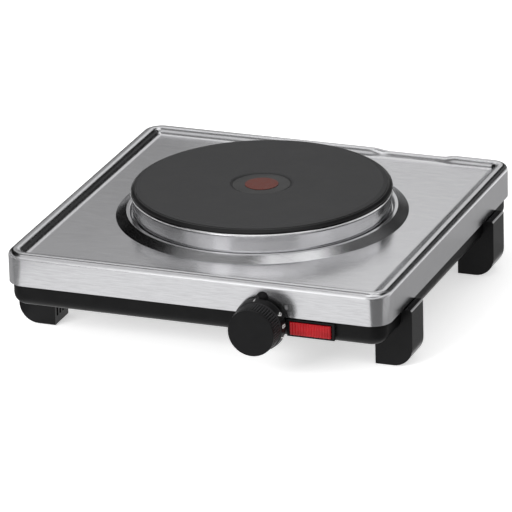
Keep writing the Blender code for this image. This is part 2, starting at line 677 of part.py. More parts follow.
def follower():
    """Lever hanging beside the cam from a pin, with a nose that rides the cam."""
    nose_r, eye_r, half = 0.0015, 0.0026, 0.0008
    reach = CAM_LOW_R + CAM_RISE * CAM_STEP_BACK / 360 + 0.00035
    nose_x = KNOB_X - reach - nose_r - FOLLOWER_X
    nose_z = KNOB_Z - FOLLOWER_Z
    tip_z = -0.016
    neck = math.degrees(math.asin(half / eye_r))
    outline = [*arc((0, 0), eye_r, neck - 90, 270 - neck, 12), (-0.75 * half, tip_z),
               (0.75 * half, tip_z), (1.25 * half, nose_z - nose_r),
               *arc((nose_x, nose_z), nose_r, -90, 90, 8), (half, nose_z + nose_r)]
    hinge = (FOLLOWER_X, CAM_Y, FOLLOWER_Z)
    lever = slab("cam_follower", outline, 0.004, "brass", hinge, FRONTWARD)
    return boolean(lever, rods("follower_bore", 0.0013, 0.02, [hinge], FRONTWARD, 12))


def regulator():
    """Housing behind a bracket on the tray's front wall, with its contacts and cover."""
    bracket_y = -TRAY_HALF_Y + TRAY_SHEET + GAP
    bracket = block("regulator_bracket", (0.040, 0.0014, 0.0232),
                    (KNOB_X, bracket_y + 0.0007, 0.0458), "zinc_steel")
    boolean(bracket, rods("bracket_holes", 0.0022, 0.01,
                          [(KNOB_X + side * BRACKET_SCREW, bracket_y, KNOB_Z)
                           for side in (-1, 1)], FRONTWARD, 12))
    boolean(bracket, rods("bracket_shaft_hole", 0.0042, 0.01, [(KNOB_X, bracket_y, KNOB_Z)],
                          FRONTWARD, 16))
    for hand, side in (("left", -1), ("right", 1)):
        x = KNOB_X + side * BRACKET_SCREW
        screw = turned("regulator_screw_" + hand,
                       [(0, 0.0023), (0.0026, 0.0021), (0.0034, 0.0012), (0.0034, 0),
                        (0.0019, 0), (0.0019, -0.003), (0, -0.003)],
                       "zinc_steel", (x, -TRAY_HALF_Y - GAP, KNOB_Z), FRONTWARD, 14)
        boolean(screw, block("regulator_slot_" + hand, (0.008, 0.002, 0.0009),
                             (x, -TRAY_HALF_Y - 0.0028, KNOB_Z)))

    front, rear = bracket_y + 0.0014 + GAP, -0.1125
    size = (0.033, rear - front, 0.0256)
    centre = (KNOB_X, (front + rear) / 2, 0.0446)
    housing = block("regulator_housing", size, centre, "phenolic")
    wall = 0.0012
    room = (size[0] - 2 * wall, size[1], size[2] - 2 * wall)
    boolean(housing, block("regulator_room", room, (centre[0], centre[1] + 0.0015, centre[2])))
    boolean(housing, rods("housing_bore", SHAFT_R + GAP, 0.02, [(KNOB_X, front, KNOB_Z)],
                          FRONTWARD, 16))
    boolean(housing, rods("follower_pin", 0.001, 0.0185, [(FOLLOWER_X, -0.127, FOLLOWER_Z)],
                          FRONTWARD, 12), "UNION")
    cover = block("regulator_cover", (size[0], 0.0015, size[2]),
                  (KNOB_X, rear + GAP + 0.00075, centre[2]), "phenolic")
    boolean(cover, blocks("tab_slots", (0.0014, 0.01, 0.0069),
                          [(x, rear, TAB_Z) for x in TAB_XS]))
    for name, x in zip(("line", "load"), TAB_XS):
        block("regulator_tab_" + name, (0.0008, 0.0125, 0.0063), (x, -0.11025, TAB_Z), "brass")
    block("contact_blade", (0.0004, 0.004, 0.012), (FOLLOWER_X - 0.0037, CAM_Y, 0.0405), "brass")


def pointer():
    """Small domed pointer pressed into the pan's wall above the knob."""
    profile = [(0, 0.0030), (0.0014, 0.0028), (0.0024, 0.0021), (0.0042, 0.0008),
               (0.0043, GAP), (0.0021, GAP), (0.0021, -0.0035), (0.0016, -0.0042), (0, -0.0042)]
    return turned("dial_pointer", profile, "knob_plastic", (KNOB_X + 0.001, -PAN_HALF_Y, 0.057),
                  FRONTWARD, 14)


def pilot_lamp():
    """Bezel with a pocket and a rear tube, the fluted lens in the pocket, the neon behind."""
    face_y = -0.1432
    seat_y = -TRAY_HALF_Y - GAP
    bezel = block("lamp_bezel", (0.0356, seat_y - face_y, 0.0128),
                  (LAMP_X, (face_y + seat_y) / 2, LAMP_Z), "knob_plastic")
    bevel(bezel, 0.0005)
    boolean(bezel, block("bezel_tube", (0.030, 0.024, 0.0076), (LAMP_X, -0.1298, LAMP_Z)), "UNION")
    boolean(bezel, block("bezel_pocket", (0.0314, 0.004, 0.0100), (LAMP_X, face_y, LAMP_Z)))
    boolean(bezel, block("bezel_bore", (0.028, 0.04, 0.0056), (LAMP_X, -0.13, LAMP_Z)))
    lens = block("lamp_lens", (0.0308, 0.0031, 0.0094), (LAMP_X, -0.14305, LAMP_Z), "lens_red")
    flutes = [(LAMP_X + k * 0.002, -0.1446, LAMP_Z) for k in range(-7, 8)]
    boolean(lens, blocks("lens_flutes", (0.0007, 0.0008, 0.0078), flutes))
    glow = [(0, 0.009), (0.0012, 0.0088), (0.0022, 0.0075), (0.0022, -0.009), (0, -0.009)]
    turned("neon_lamp", glow, "glass", (LAMP_X, -0.132, LAMP_Z), (0, math.radians(90), 0), 12)


# ---------------------------------------------------------------- mains side
def mains_entry():
    end, flange_y = GLAND_END_Y - TRAY_HALF_Y, 0.0015
    profile = [(GLAND_BORE_R, end), (0.0046, end), (0.0050, flange_y), (0.0066, flange_y),
               (0.0066, GAP), (0.0052, GAP), (0.0052, -0.007), (GLAND_BORE_R, -0.007)]
    turned("cable_gland", profile, "rubber", (GLAND_X, TRAY_HALF_Y, GLAND_Z),
           (math.radians(-90), 0, 0), 20, closed=True)

    low, height = TRAY_FLOOR_Z + GAP, 0.014
    body = block("mains_terminal_block", (0.036, 0.016, height),
                 (MAINS_X, MAINS_Y, low + height / 2), "ceramic")
    boolean(body, rods("block_mount", 0.0019, 0.03, [(MAINS_X, MAINS_Y + 0.003, low)], sides=12))
    entries = [(x, MAINS_Y - 0.008, MAINS_Z) for x in MAINS_HOLES]
    boolean(body, rods("block_entries", 0.0018, 0.012, entries, FRONTWARD, 12))
    head, shank_end = low + height + GAP, TRAY_BOTTOM_Z - 0.0005
    screw = turned("mains_block_screw",
                   [(0, head + 0.002), (0.0024, head + 0.0018), (0.0032, head + 0.001),
                    (0.0032, head), (0.0016, head), (0.0016, shank_end), (0, shank_end)],
                   "zinc_steel", (MAINS_X, MAINS_Y + 0.003, 0), steps=14)
    boolean(screw, block("mains_slot", (0.008, 0.0009, 0.002),
                         (MAINS_X, MAINS_Y + 0.003, head + 0.0022)))


def leads():
    """Internal wiring, each lead from one terminal to the next, clear of the hot plate."""
    earth_x, neutral_x, live_x, lamp_x = MAINS_HOLES
    inside, outside = MAINS_Y - 0.006, MAINS_Y - 0.0115
    line_tab, load_tab = TAB_XS
    tab_end = -0.1034
    routes = {
        "live_lead": [
            (live_x, inside, MAINS_Z), (live_x, outside, MAINS_Z), (0.086, 0.0965, 0.0365),
            (0.112, 0.082, 0.034), (0.1135, 0.0, 0.034), (0.112, -0.080, 0.0345),
            (0.086, -0.097, 0.036), (0.060, -0.095, 0.038), (0.049, -0.098, 0.043),
            (line_tab, tab_end, TAB_Z)],
        "switched_lead": [
            (load_tab, tab_end, TAB_Z - 0.0020), (0.058, -0.094, 0.0465),
            (0.052, -0.060, 0.053), (LIMITER_X + 0.006, -0.028, 0.053),
            (LIMITER_X + 0.0025, LIMITER_Y, 0.0562)],
        "limiter_lead": [
            (LIMITER_X - 0.0025, LIMITER_Y, 0.0562), (0.034, -0.020, 0.053),
            (0.012, -0.034, 0.0515), (-0.014, -0.034, 0.0515), (-0.034, -0.016, 0.0525),
            (-0.041, -0.0045, 0.0542)],
        "neutral_lead": [
            (neutral_x, inside, MAINS_Z), (neutral_x, outside, MAINS_Z), (0.071, 0.096, 0.046),
            (0.046, 0.084, 0.054), (0.0, 0.078, 0.053), (-0.040, 0.050, 0.052),
            (-0.057, 0.018, 0.052), (-0.057, 0.0045, 0.0542)],
        "earth_lead": [
            (earth_x, inside, MAINS_Z), (earth_x, outside, MAINS_Z), (0.0635, 0.0975, 0.0415),
            (0.056, 0.089, 0.0475), (0.044, 0.068, 0.0500), (0.014, 0.028, 0.054),
            (0.0, 0.0145, 0.0607)],
        "lamp_lead_load": [
            (0.081, -0.1289, LAMP_Z), (0.081, -0.114, 0.037), (0.076, -0.102, 0.044),
            (0.066, -0.0985, 0.0500), (load_tab, tab_end + 0.0002, TAB_Z + 0.0030)],
        "lamp_lead_neutral": [
            (lamp_x, inside, MAINS_Z), (lamp_x, outside, MAINS_Z), (0.098, 0.097, 0.037),
            (0.118, 0.080, 0.0355), (0.120, 0.0, 0.035), (0.118, -0.083, 0.0355),
            (0.101, -0.107, 0.0362), (0.097, -0.118, LAMP_Z), (0.097, -0.1289, LAMP_Z)],
    }
    for name, stops in routes.items():
        sleeve = "earth_sleeve" if name == "earth_lead" else "lead_sleeve"
        wire(name, smooth_route(stops), LEAD_R, sleeve)


clear_scene()
parts = new_collection("hot_plate_burner")
cutters = new_collection("hot_plate_cutters")
axis_empty = bpy.data.objects.new("burner_axis", None)
axis_empty.location = FRAME_SHIFT
parts.objects.link(axis_empty)

top_pan()
base_tray()
supports()
reflector()
cooking_plate()
control_knob()
control_shaft()
knob_clip()
cam()
follower()
regulator()
pointer()
pilot_lamp()
mains_entry()
leads()
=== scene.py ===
import json
import math

import bmesh
import bpy
from mathutils import Matrix, Vector


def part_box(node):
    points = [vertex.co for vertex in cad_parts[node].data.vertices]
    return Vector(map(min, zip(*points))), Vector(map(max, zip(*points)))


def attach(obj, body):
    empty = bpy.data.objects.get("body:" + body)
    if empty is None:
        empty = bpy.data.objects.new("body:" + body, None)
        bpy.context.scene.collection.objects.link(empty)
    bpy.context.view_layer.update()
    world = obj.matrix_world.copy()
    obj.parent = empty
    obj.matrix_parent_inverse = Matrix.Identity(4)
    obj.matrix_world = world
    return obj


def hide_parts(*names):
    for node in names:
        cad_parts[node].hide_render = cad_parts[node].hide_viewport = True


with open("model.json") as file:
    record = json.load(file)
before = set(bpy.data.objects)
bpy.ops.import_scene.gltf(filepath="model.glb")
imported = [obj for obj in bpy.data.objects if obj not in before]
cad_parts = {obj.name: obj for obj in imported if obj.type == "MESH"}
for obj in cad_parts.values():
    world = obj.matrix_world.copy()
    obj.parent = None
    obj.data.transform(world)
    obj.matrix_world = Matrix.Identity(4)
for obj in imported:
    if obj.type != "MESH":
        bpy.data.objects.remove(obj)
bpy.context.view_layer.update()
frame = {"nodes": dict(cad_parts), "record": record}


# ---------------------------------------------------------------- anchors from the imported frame
def middle(node):
    low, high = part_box(node)
    return (low + high) / 2


MM = 0.001
pan_low, pan_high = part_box("top_pan")
PAN_MID = (pan_low + pan_high) / 2
RIM_HEIGHT = 4.2 * MM
PANEL_Z = pan_high.z - RIM_HEIGHT
PLATE_AXIS = Vector((middle("spill_ring").x, middle("spill_ring").y, PANEL_Z))
CORNERS = ("front_left", "front_right", "rear_left", "rear_right")
SHEET_UV = "sheet"


# ---------------------------------------------------------------- node materials
class Look:
    """One procedural material: its Principled shader and the nodes that feed it."""

    def __init__(self, name, colour, roughness, metallic=0.0, **sockets):
        self.material = bpy.data.materials.new(name)
        self.material.use_nodes = True
        self.tree = self.material.node_tree
        self.shader = self.tree.nodes["Principled BSDF"]
        self.colour = colour
        self.set(self.shader, {"Base Color": (*colour, 1.0), "Roughness": roughness,
                               "Metallic": metallic,
                               **{key.replace("_", " "): value for key, value in sockets.items()}})

    def set(self, node, values):
        for key, value in values.items():
            if isinstance(value, bpy.types.NodeSocket):
                self.tree.links.new(value, node.inputs[key])
            else:
                node.inputs[key].default_value = value
        return node

    def add(self, kind, values=None, **settings):
        node = self.tree.nodes.new(kind)
        for key, value in settings.items():
            setattr(node, key, value)
        return self.set(node, values or {})

    def coords(self, scale, uv=None):
        """Object coordinates, or a UV map in metres, times the scale on each axis."""
        if uv:
            source = self.add("ShaderNodeUVMap", uv_map=uv).outputs["UV"]
        else:
            source = self.add("ShaderNodeTexCoord").outputs["Object"]
        return self.add("ShaderNodeMapping", {"Vector": source, "Scale": scale}).outputs["Vector"]

    def noise(self, scale, detail=3.0, rough=0.5, uv=None):
        return self.add("ShaderNodeTexNoise", {
            "Vector": self.coords(scale, uv), "Scale": 1.0, "Detail": detail,
            "Roughness": rough}).outputs["Fac"]

    def math(self, operation, a, b=0.0):
        node = self.add("ShaderNodeMath", operation=operation)
        for index, value in enumerate((a, b)):
            if isinstance(value, bpy.types.NodeSocket):
                self.tree.links.new(value, node.inputs[index])
            else:
                node.inputs[index].default_value = value
        return node.outputs["Value"]

    def spread(self, value, low, high, start=0.3, end=0.7):
        """Map the middle of a noise to a range."""
        return self.add("ShaderNodeMapRange", {
            "Value": value, "From Min": start, "From Max": end, "To Min": low,
            "To Max": high}).outputs["Result"]

    def shade(self, factor, dark, light):
        """The base colour from dark to light, as shares of the look's own colour."""
        mix = self.add("ShaderNodeMix", data_type="RGBA")
        self.tree.links.new(factor, mix.inputs[0])
        for socket, share in ((mix.inputs[6], dark), (mix.inputs[7], light)):
            tone = share if isinstance(share, tuple) else tuple(c * share for c in self.colour)
            socket.default_value = (*tone, 1.0)
        self.tree.links.new(mix.outputs[2], self.shader.inputs["Base Color"])
        return self

    def rough(self, value, low, high):
        self.tree.links.new(self.spread(value, low, high), self.shader.inputs["Roughness"])
        return self

    def bump(self, height, depth, strength=1.0):
        bump = self.add("ShaderNodeBump", {"Height": height, "Distance": depth,
                                           "Strength": strength})
        before = self.shader.inputs["Normal"]
        if before.is_linked:
            self.tree.links.new(before.links[0].from_socket, bump.inputs["Normal"])
        self.tree.links.new(bump.outputs["Normal"], before)
        return self


def brushed_steel():
    look = Look("brushed_pan_steel", (0.62, 0.62, 0.635), 0.21, 1.0,
                Anisotropic=0.5, Anisotropic_Rotation=0.25)
    tangent = look.add("ShaderNodeTangent", direction_type="UV_MAP", uv_map=SHEET_UV)
    look.tree.links.new(tangent.outputs["Tangent"], look.shader.inputs["Tangent"])
    fine = look.noise((70, 1050, 1), 5.0, 0.7, SHEET_UV)
    broad = look.noise((24, 430, 1), 3.0, 0.6, SHEET_UV)
    smudge = look.noise((28, 22, 30), 3.0, 0.55)
    grain = look.math("ADD", look.math("MULTIPLY", fine, 0.75), look.math("MULTIPLY", broad, 0.25))
    look.shade(look.spread(grain, 0.0, 1.0, 0.38, 0.62), 0.92, 1.06)
    look.rough(look.math("ADD", look.math("MULTIPLY", grain, 0.7),
                         look.math("MULTIPLY", smudge, 0.3)), 0.17, 0.26)
    return look.bump(fine, 0.00002, 0.35)


def polished_steel():
    look = Look("polished_ring_steel", (0.76, 0.76, 0.77), 0.15, 1.0)
    turning = look.noise((30, 30, 1800), 4.0, 0.6)
    haze = look.noise((60, 60, 40), 4.0, 0.6)
    look.shade(look.spread(haze, 0.0, 1.0), 0.95, 1.03)
    look.rough(haze, 0.12, 0.19)
    return look.bump(turning, 0.000008, 0.35)


def cast_iron():
    look = Look("coated_cast_iron", (0.036, 0.036, 0.0372), 0.56, 0.0, Specular_IOR_Level=0.22)
    texture = look.add("ShaderNodeTexCoord").outputs["Object"]
    centred = look.add("ShaderNodeMapping", {"Vector": texture,
                                             "Location": (-PLATE_AXIS.x, -PLATE_AXIS.y, 0.0)})
    rings = look.add("ShaderNodeTexWave", {"Vector": centred.outputs["Vector"], "Scale": 520.0,
                                           "Distortion": 1.2, "Detail": 2.0,
                                           "Detail Scale": 0.02},
                     wave_type="RINGS", rings_direction="Z").outputs["Fac"]
    cast = look.noise((900, 900, 900), 4.0, 0.6)
    cloud = look.noise((34, 34, 34), 4.0, 0.6)
    look.shade(look.spread(cloud, 0.0, 1.0), 0.93, 1.06)
    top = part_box("cast_iron_plate")[1].z
    height = look.add("ShaderNodeSeparateXYZ", {"Vector": texture}).outputs["Z"]
    on_top = look.add("ShaderNodeMapRange", {"Value": height, "From Min": top - 1.0 * MM,
                                             "From Max": top - 0.45 * MM}).outputs["Result"]
    edge = look.add("ShaderNodeMix", data_type="RGBA")
    look.tree.links.new(on_top, edge.inputs[0])
    edge.inputs[6].default_value = (0.008, 0.008, 0.0083, 1.0)
    look.tree.links.new(look.shader.inputs["Base Color"].links[0].from_socket, edge.inputs[7])
    look.tree.links.new(edge.outputs[2], look.shader.inputs["Base Color"])
    matt = look.spread(cloud, 0.53, 0.62)
    drop = look.math("MULTIPLY", look.math("SUBTRACT", 1.0, on_top), 0.26)
    look.tree.links.new(look.math("SUBTRACT", matt, drop), look.shader.inputs["Roughness"])
    look.bump(rings, 0.00001, 0.30)
    return look.bump(cast, 0.00003, 0.35)


def marker_enamel():
    look = Look("marker_enamel_red", (0.120, 0.026, 0.017), 0.55, Specular_IOR_Level=0.35)
    speck = look.noise((1500, 1500, 1500), 3.0, 0.6)
    worn = look.noise((260, 260, 260), 5.0, 0.65)
    look.shade(look.spread(worn, 0.0, 1.0), (0.105, 0.024, 0.016), (0.138, 0.029, 0.019))
    look.rough(worn, 0.48, 0.66)
    return look.bump(speck, 0.00003, 0.4)


def black_enamel():
    look = Look("tray_black_enamel", (0.0048, 0.0048, 0.0050), 0.34, 0.0, Specular_IOR_Level=0.09)
    peel = look.noise((900, 900, 900), 2.0, 0.5)
    dust = look.noise((70, 70, 110), 5.0, 0.62)
    look.shade(look.spread(dust, 0.0, 1.0), 0.85, 1.25)
    look.rough(dust, 0.30, 0.44)
    return look.bump(peel, 0.00002, 0.3)


def moulded(name, colour, low, high, grain=0.00003, scale=1400, shine=0.4):
    look = Look(name, colour, (low + high) / 2, 0.0, Specular_IOR_Level=shine)
    fine = look.noise((scale, scale, scale), 3.0, 0.55)
    dust = look.noise((80, 80, 80), 5.0, 0.6)
    look.shade(look.spread(dust, 0.0, 1.0), 0.88, 1.18)
    look.rough(dust, low, high)
    return look.bump(fine, grain, 0.4)


def tone(look, mask, colour):
    """Mix the look's colour towards another where the mask is 1."""
    mix = look.add("ShaderNodeMix", data_type="RGBA")
    look.tree.links.new(mask, mix.inputs[0])
    look.tree.links.new(look.shader.inputs["Base Color"].links[0].from_socket, mix.inputs[6])
    mix.inputs[7].default_value = (*colour, 1.0)
    look.tree.links.new(mix.outputs[2], look.shader.inputs["Base Color"])
    return look


def knob_black():
    """Black moulding, with a painted highlight: its rib tips coloured a little lighter than the
    grooves.
    """
    look = moulded("knob_black", (0.0060, 0.0060, 0.0063), 0.20, 0.28, 0.00001, 1800, 0.09)
    axis = middle("control_knob")
    spot = look.add("ShaderNodeTexCoord").outputs["Object"]
    flat = look.add("ShaderNodeMapping", {"Vector": spot, "Location": (-axis.x, 0.0, -axis.z)})
    plane = look.add("ShaderNodeVectorMath", {0: flat.outputs["Vector"], 1: (1.0, 0.0, 1.0)},
                     operation="MULTIPLY")
    radius = look.add("ShaderNodeVectorMath", {0: plane.outputs["Vector"]}, operation="LENGTH")
    back = look.add("ShaderNodeSeparateXYZ", {"Vector": spot}).outputs["Y"]
    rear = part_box("control_knob")[1].y
    # painted highlight: rib tips on the ribbed band turn lighter than the grooves
    tips = look.spread(radius.outputs["Value"], 0.0, 1.0, 17.05 * MM, 17.75 * MM)
    ribbed = look.spread(back, 1.0, 0.0, rear - 6.6 * MM, rear - 6.2 * MM)
    return tone(look, look.math("MULTIPLY", tips, ribbed), (0.022, 0.022, 0.023))


def foot_black():
    """Black moulding, with a painted highlight: a lighter line along the outer top edge of the
    upstands.
    """
    look = moulded("foot_black", (0.0060, 0.0060, 0.0063), 0.18, 0.26, 0.00001, shine=0.12)
    spot = look.add("ShaderNodeSeparateXYZ", {
        "Vector": look.add("ShaderNodeTexCoord").outputs["Object"]}).outputs
    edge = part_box("foot_front_right")[1]
    outward = look.math("ABSOLUTE", spot["X"])
    corner = look.math("ADD", outward, spot["Z"])
    reach = edge.x + edge.z
    # painted highlight: the lighter line stands in for the light caught along the upstand's outer
    # top edge
    line = look.spread(corner, 0.0, 1.0, reach - 1.25 * MM, reach - 0.8 * MM)
    return tone(look, line, (0.34, 0.34, 0.345))


def lens_red():
    look = Look("lens_red_acrylic", (0.30, 0.004, 0.007), 0.22, 0.0,
                Transmission_Weight=0.08, Specular_IOR_Level=0.25, IOR=1.49)
    glow = look.noise((120, 40, 260), 3.0, 0.5)
    look.shade(look.spread(glow, 0.0, 1.0), (0.24, 0.003, 0.006), (0.34, 0.005, 0.009))
    look.rough(look.noise((700, 700, 700), 3.0), 0.18, 0.28)
    return look.bump(look.noise((420, 420, 420), 2.0), 0.00002, 0.25)


def plated(name, colour, low=0.30, high=0.46, scale=(160, 160, 160)):
    look = Look(name, colour, (low + high) / 2, 1.0)
    blotch = look.noise(scale, 5.0, 0.62)
    look.shade(look.spread(blotch, 0.0, 1.0), 0.82, 1.10)
    look.rough(blotch, low, high)
    return look.bump(look.noise((1300, 1300, 1300), 3.0), 0.00002, 0.3)


def powdery(name, colour, low=0.7, high=0.92, grain=0.00008):
    look = Look(name, colour, (low + high) / 2)
    clump = look.noise((420, 420, 420), 6.0, 0.65)
    look.shade(look.spread(clump, 0.0, 1.0), 0.80, 1.12)
    look.rough(clump, low, high)
    return look.bump(look.noise((1600, 1600, 1600), 4.0), grain, 0.6)


def woven(name, colour):
    look = powdery(name, colour, 0.55, 0.75, 0.00004)
    weave = look.add("ShaderNodeTexWave", {"Vector": look.coords((1, 1, 1)), "Scale": 900.0,
                                           "Distortion": 0.5}, bands_direction="DIAGONAL")
    return look.bump(weave.outputs["Fac"], 0.00006, 0.6)


LOOKS = {
    "pan_steel": brushed_steel(),
    "tray_paint": black_enamel(),
    "reflector_steel": plated("bright_reflector", (0.64, 0.64, 0.65), 0.16, 0.30, (12, 500, 12)),
    "cast_iron": cast_iron(),
    "marker_enamel": marker_enamel(),
    "polished_steel": polished_steel(),
    "resistance_wire": plated("oxidised_wire", (0.26, 0.23, 0.21), 0.42, 0.60),
    "compound": powdery("pressed_compound", (0.42, 0.39, 0.34)),
    "zinc_steel": plated("zinc_plating", (0.47, 0.48, 0.50)),
    "brass": plated("bright_brass", (0.70, 0.49, 0.19), 0.22, 0.38),
    "ceramic": powdery("glazed_ceramic", (0.74, 0.70, 0.62), 0.30, 0.45, 0.00003),
    "phenolic": moulded("brown_phenolic", (0.10, 0.055, 0.03), 0.38, 0.55),
    "knob_plastic": knob_black(),
    "foot_plastic": foot_black(),
    "lens_red": lens_red(),
    "glass": Look("neon_glass", (0.85, 0.87, 0.88), 0.05, 0.0, Transmission_Weight=0.9, IOR=1.47),
    "rubber": powdery("black_rubber", (0.022, 0.022, 0.023), 0.72, 0.88, 0.00005),
    "lead_sleeve": woven("lead_sleeve_red", (0.42, 0.09, 0.05)),
    "earth_sleeve": woven("earth_sleeve_green", (0.33, 0.40, 0.05)),
}
LOOKS["glass"].rough(LOOKS["glass"].noise((300, 300, 300), 3.0), 0.03, 0.09)
PRINT = powdery("dial_print_white", (0.78, 0.78, 0.77), 0.45, 0.60, 0.00001)


# ---------------------------------------------------------------- mesh helpers
def filleted(corners, steps=4):
    """A polyline whose corners (a, b, radius) are rounded by arcs of that radius."""
    points = []
    for index, corner in enumerate(corners):
        here = Vector(corner[:2])
        radius = corner[2] if len(corner) > 2 else 0.0
        if not radius or index in (0, len(corners) - 1):
            points.append(tuple(here))
            continue
        back = (Vector(corners[index - 1][:2]) - here).normalized()
        ahead = (Vector(corners[index + 1][:2]) - here).normalized()
        half = back.angle(ahead) / 2
        centre = here + (back + ahead).normalized() * (radius / math.sin(half))
        reach = radius / math.tan(half)
        start, end = here + back * reach - centre, here + ahead * reach - centre
        turn = start.angle_signed(end)
        for k in range(steps + 1):
            angle = turn * k / steps
            spun = Matrix.Rotation(-angle, 2) @ start
            points.append(tuple(centre + spun))
    return points


def arc(centre, radius, start, end, steps):
    """Points on an arc in the profile plane, angles in degrees."""
    turns = [math.radians(start + (end - start) * k / steps) for k in range(steps + 1)]
    return [(centre[0] + radius * math.cos(t), centre[1] + radius * math.sin(t)) for t in turns]


def loft(rows, closed=False, caps=(False, False)):
    """A mesh over rows of points; each row is a closed loop with the same number of points."""
    bm = bmesh.new()
    loops = [[bm.verts.new(point) for point in row] for row in rows]
    pairs = list(zip(loops, loops[1:])) + ([(loops[-1], loops[0])] if closed else [])
    for first, second in pairs:
        count = len(first)
        for k in range(count):
            bm.faces.new((first[k], first[(k + 1) % count], second[(k + 1) % count], second[k]))
    if caps[0]:
        bm.faces.new(list(reversed(loops[0])))
    if caps[1]:
        bm.faces.new(loops[-1])
    return bm


def tidy(bm, merge=0.0000005):
    bmesh.ops.remove_doubles(bm, verts=bm.verts, dist=merge)
    bmesh.ops.dissolve_degenerate(bm, edges=bm.edges, dist=merge)
    bmesh.ops.recalc_face_normals(bm, faces=bm.faces)
    return bm


def piece(name, bm, slot, nodes, body="casing", weighted=True, look=None):
    """Make the mesh a piece of the object: give it its slot's material, put it on its body, and
    hide the CAD nodes it stands for.
    """
    data = bpy.data.meshes.new(name)
    bm.to_mesh(data)
    bm.free()
    for face in data.polygons:
        face.use_smooth = True
    item = bpy.data.objects.new(name, data)
    bpy.context.scene.collection.objects.link(item)
    data.materials.append((look or LOOKS[slot]).material)
    if weighted:
        item.modifiers.new("even_normals", "WEIGHTED_NORMAL").keep_sharp = True
    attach(item, body)
    if nodes:
        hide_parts(*nodes)
    return item


def carve(bm, cutters, bevel=0.0):
    """Cut the cutters from the mesh, bevel its edges, and give back the finished mesh."""
    data = bpy.data.meshes.new("carved")
    bm.to_mesh(data)
    bm.free()
    item = bpy.data.objects.new("carved", data)
    bpy.context.scene.collection.objects.link(item)
    tools = []
    for cutter in cutters:
        tool_data = bpy.data.meshes.new("cutter")
        cutter.to_mesh(tool_data)
        cutter.free()
        tool = bpy.data.objects.new("cutter", tool_data)
        bpy.context.scene.collection.objects.link(tool)
        step = item.modifiers.new("cut", "BOOLEAN")
        step.operation, step.object, step.solver = "DIFFERENCE", tool, "EXACT"
        tools.append(tool)
    if bevel:
        step = item.modifiers.new("edges", "BEVEL")
        step.width, step.segments, step.limit_method = bevel, 3, "ANGLE"
        step.angle_limit = math.radians(35)
        step.use_clamp_overlap = True
    bpy.context.view_layer.update()
    graph = bpy.context.evaluated_depsgraph_get()
    done = bmesh.new()
    done.from_mesh(item.evaluated_get(graph).to_mesh())
    for used in (item, *tools):
        bpy.data.objects.remove(used, do_unlink=True)
    return done


def box_tool(low, high, corner=0.0):
    """A box, with its upright edges rounded if a corner radius is given."""
    low, high = Vector(low), Vector(high)
    bm = bmesh.new()
    bmesh.ops.create_cube(bm, size=1.0, matrix=Matrix.Translation((low + high) / 2)
                          @ Matrix.Diagonal((*(high - low), 1.0)))
    if corner:
        upright = [e for e in bm.edges if abs((e.verts[0].co - e.verts[1].co).normalized().z) > 0.9]
        bmesh.ops.bevel(bm, geom=upright, offset=corner, segments=6, affect="EDGES", profile=0.5)
    return bm


def rod_tool(centre, axis, radius, length, sides=32):
    bm = bmesh.new()
    turn = Vector((0, 0, 1)).rotation_difference(Vector(axis)).to_matrix().to_4x4()
    bmesh.ops.create_cone(bm, cap_ends=True, segments=sides, radius1=radius, radius2=radius,
                          depth=length, matrix=Matrix.Translation(centre) @ turn)
    return bm


def revolve(profile, origin, axis=(0, 0, 1), steps=96, ripple=None, closed=False):
    """Turn (radius, height) points round an axis. ripple(angle, k) is added to point k's radius."""
    turn = Vector((0, 0, 1)).rotation_difference(Vector(axis)).to_matrix()
    rows = []
    for k, (radius, height) in enumerate(profile):
        row = []
        for s in range(steps):
            angle = 2 * math.pi * s / steps
            r = radius + (ripple(angle, k) if ripple else 0.0)
            row.append(turn @ Vector((r * math.cos(angle), r * math.sin(angle), height))
                       + Vector(origin))
        rows.append(row)
    return tidy(loft(rows, closed))


# ---------------------------------------------------------------- pan and tray
CORNER_STEPS, SIDE_STEPS = 14, 64
PAN_CORNER = 14.6 * MM


def rounded_outline(half_x, half_y, radius):
    """Points and outward normals of a rounded rectangle, from the middle of its right side."""
    points = []
    for quarter, (sx, sy) in enumerate(((1, 1), (-1, 1), (-1, -1), (1, -1))):
        middle_x, middle_y = sx * (half_x - radius), sy * (half_y - radius)
        for k in range(CORNER_STEPS + 1):
            angle = math.radians(90 * (quarter + k / CORNER_STEPS))
            normal = Vector((math.cos(angle), math.sin(angle)))
            points.append((Vector((middle_x, middle_y)) + normal * radius, normal))
        after = ((-1, 1), (-1, -1), (1, -1), (1, 1))[quarter]
        end = Vector((after[0] * (half_x - radius), after[1] * (half_y - radius))) + normal * radius
        start = points[-1][0]
        for k in range(1, SIDE_STEPS):
            points.append((start.lerp(end, k / SIDE_STEPS), normal))
    shift = len(points) - SIDE_STEPS // 2        # begin where the right side crosses the X axis
    return points[shift:] + points[:shift]


def outline_rows(half, radius, profile, origin, least=1.4 * MM):
    """One row of 3-D points for each (inset, height) of the profile."""
    rows = []
    for inset, height in profile:
        outline = rounded_outline(half.x - inset, half.y - inset, max(radius - inset, least))
        rows.append([Vector((origin.x + point.x, origin.y + point.y, height))
                     for point, _ in outline])
    return rows


def flat_map(bm, rows, normals, profile):
    """UVs in metres as if the sheet was unrolled, so brush lines run on over its bends."""
    run = [0.0]
    for (a, b), (c, d) in zip(profile, profile[1:]):
        run.append(run[-1] + math.hypot(c - a, d - b))
    spot = {}
    for row, travelled, (inset, _) in zip(rows, run, profile):
        extra = (run[-1] - travelled) - (profile[-1][0] - inset)
        for point, normal in zip(row, normals):
            spot[tuple(round(v, 6) for v in point)] = point.xy + normal * extra
    layer = bm.loops.layers.uv.new(SHEET_UV)
    for face in bm.faces:
        for corner in face.loops:
            co = corner.vert.co
            corner[layer].uv = spot.get(tuple(round(v, 6) for v in co), co.xy)


def rear_dip(x):
    """Share of the rear rim's dip at x: it is lowered beside the plate."""
    def ease(value, start, end):
        t = min(max((value - start) / (end - start), 0.0), 1.0)
        return t * t * (3 - 2 * t)
    return ease(x, 36 * MM, 49 * MM) * (1 - ease(x, 91 * MM, 101 * MM))


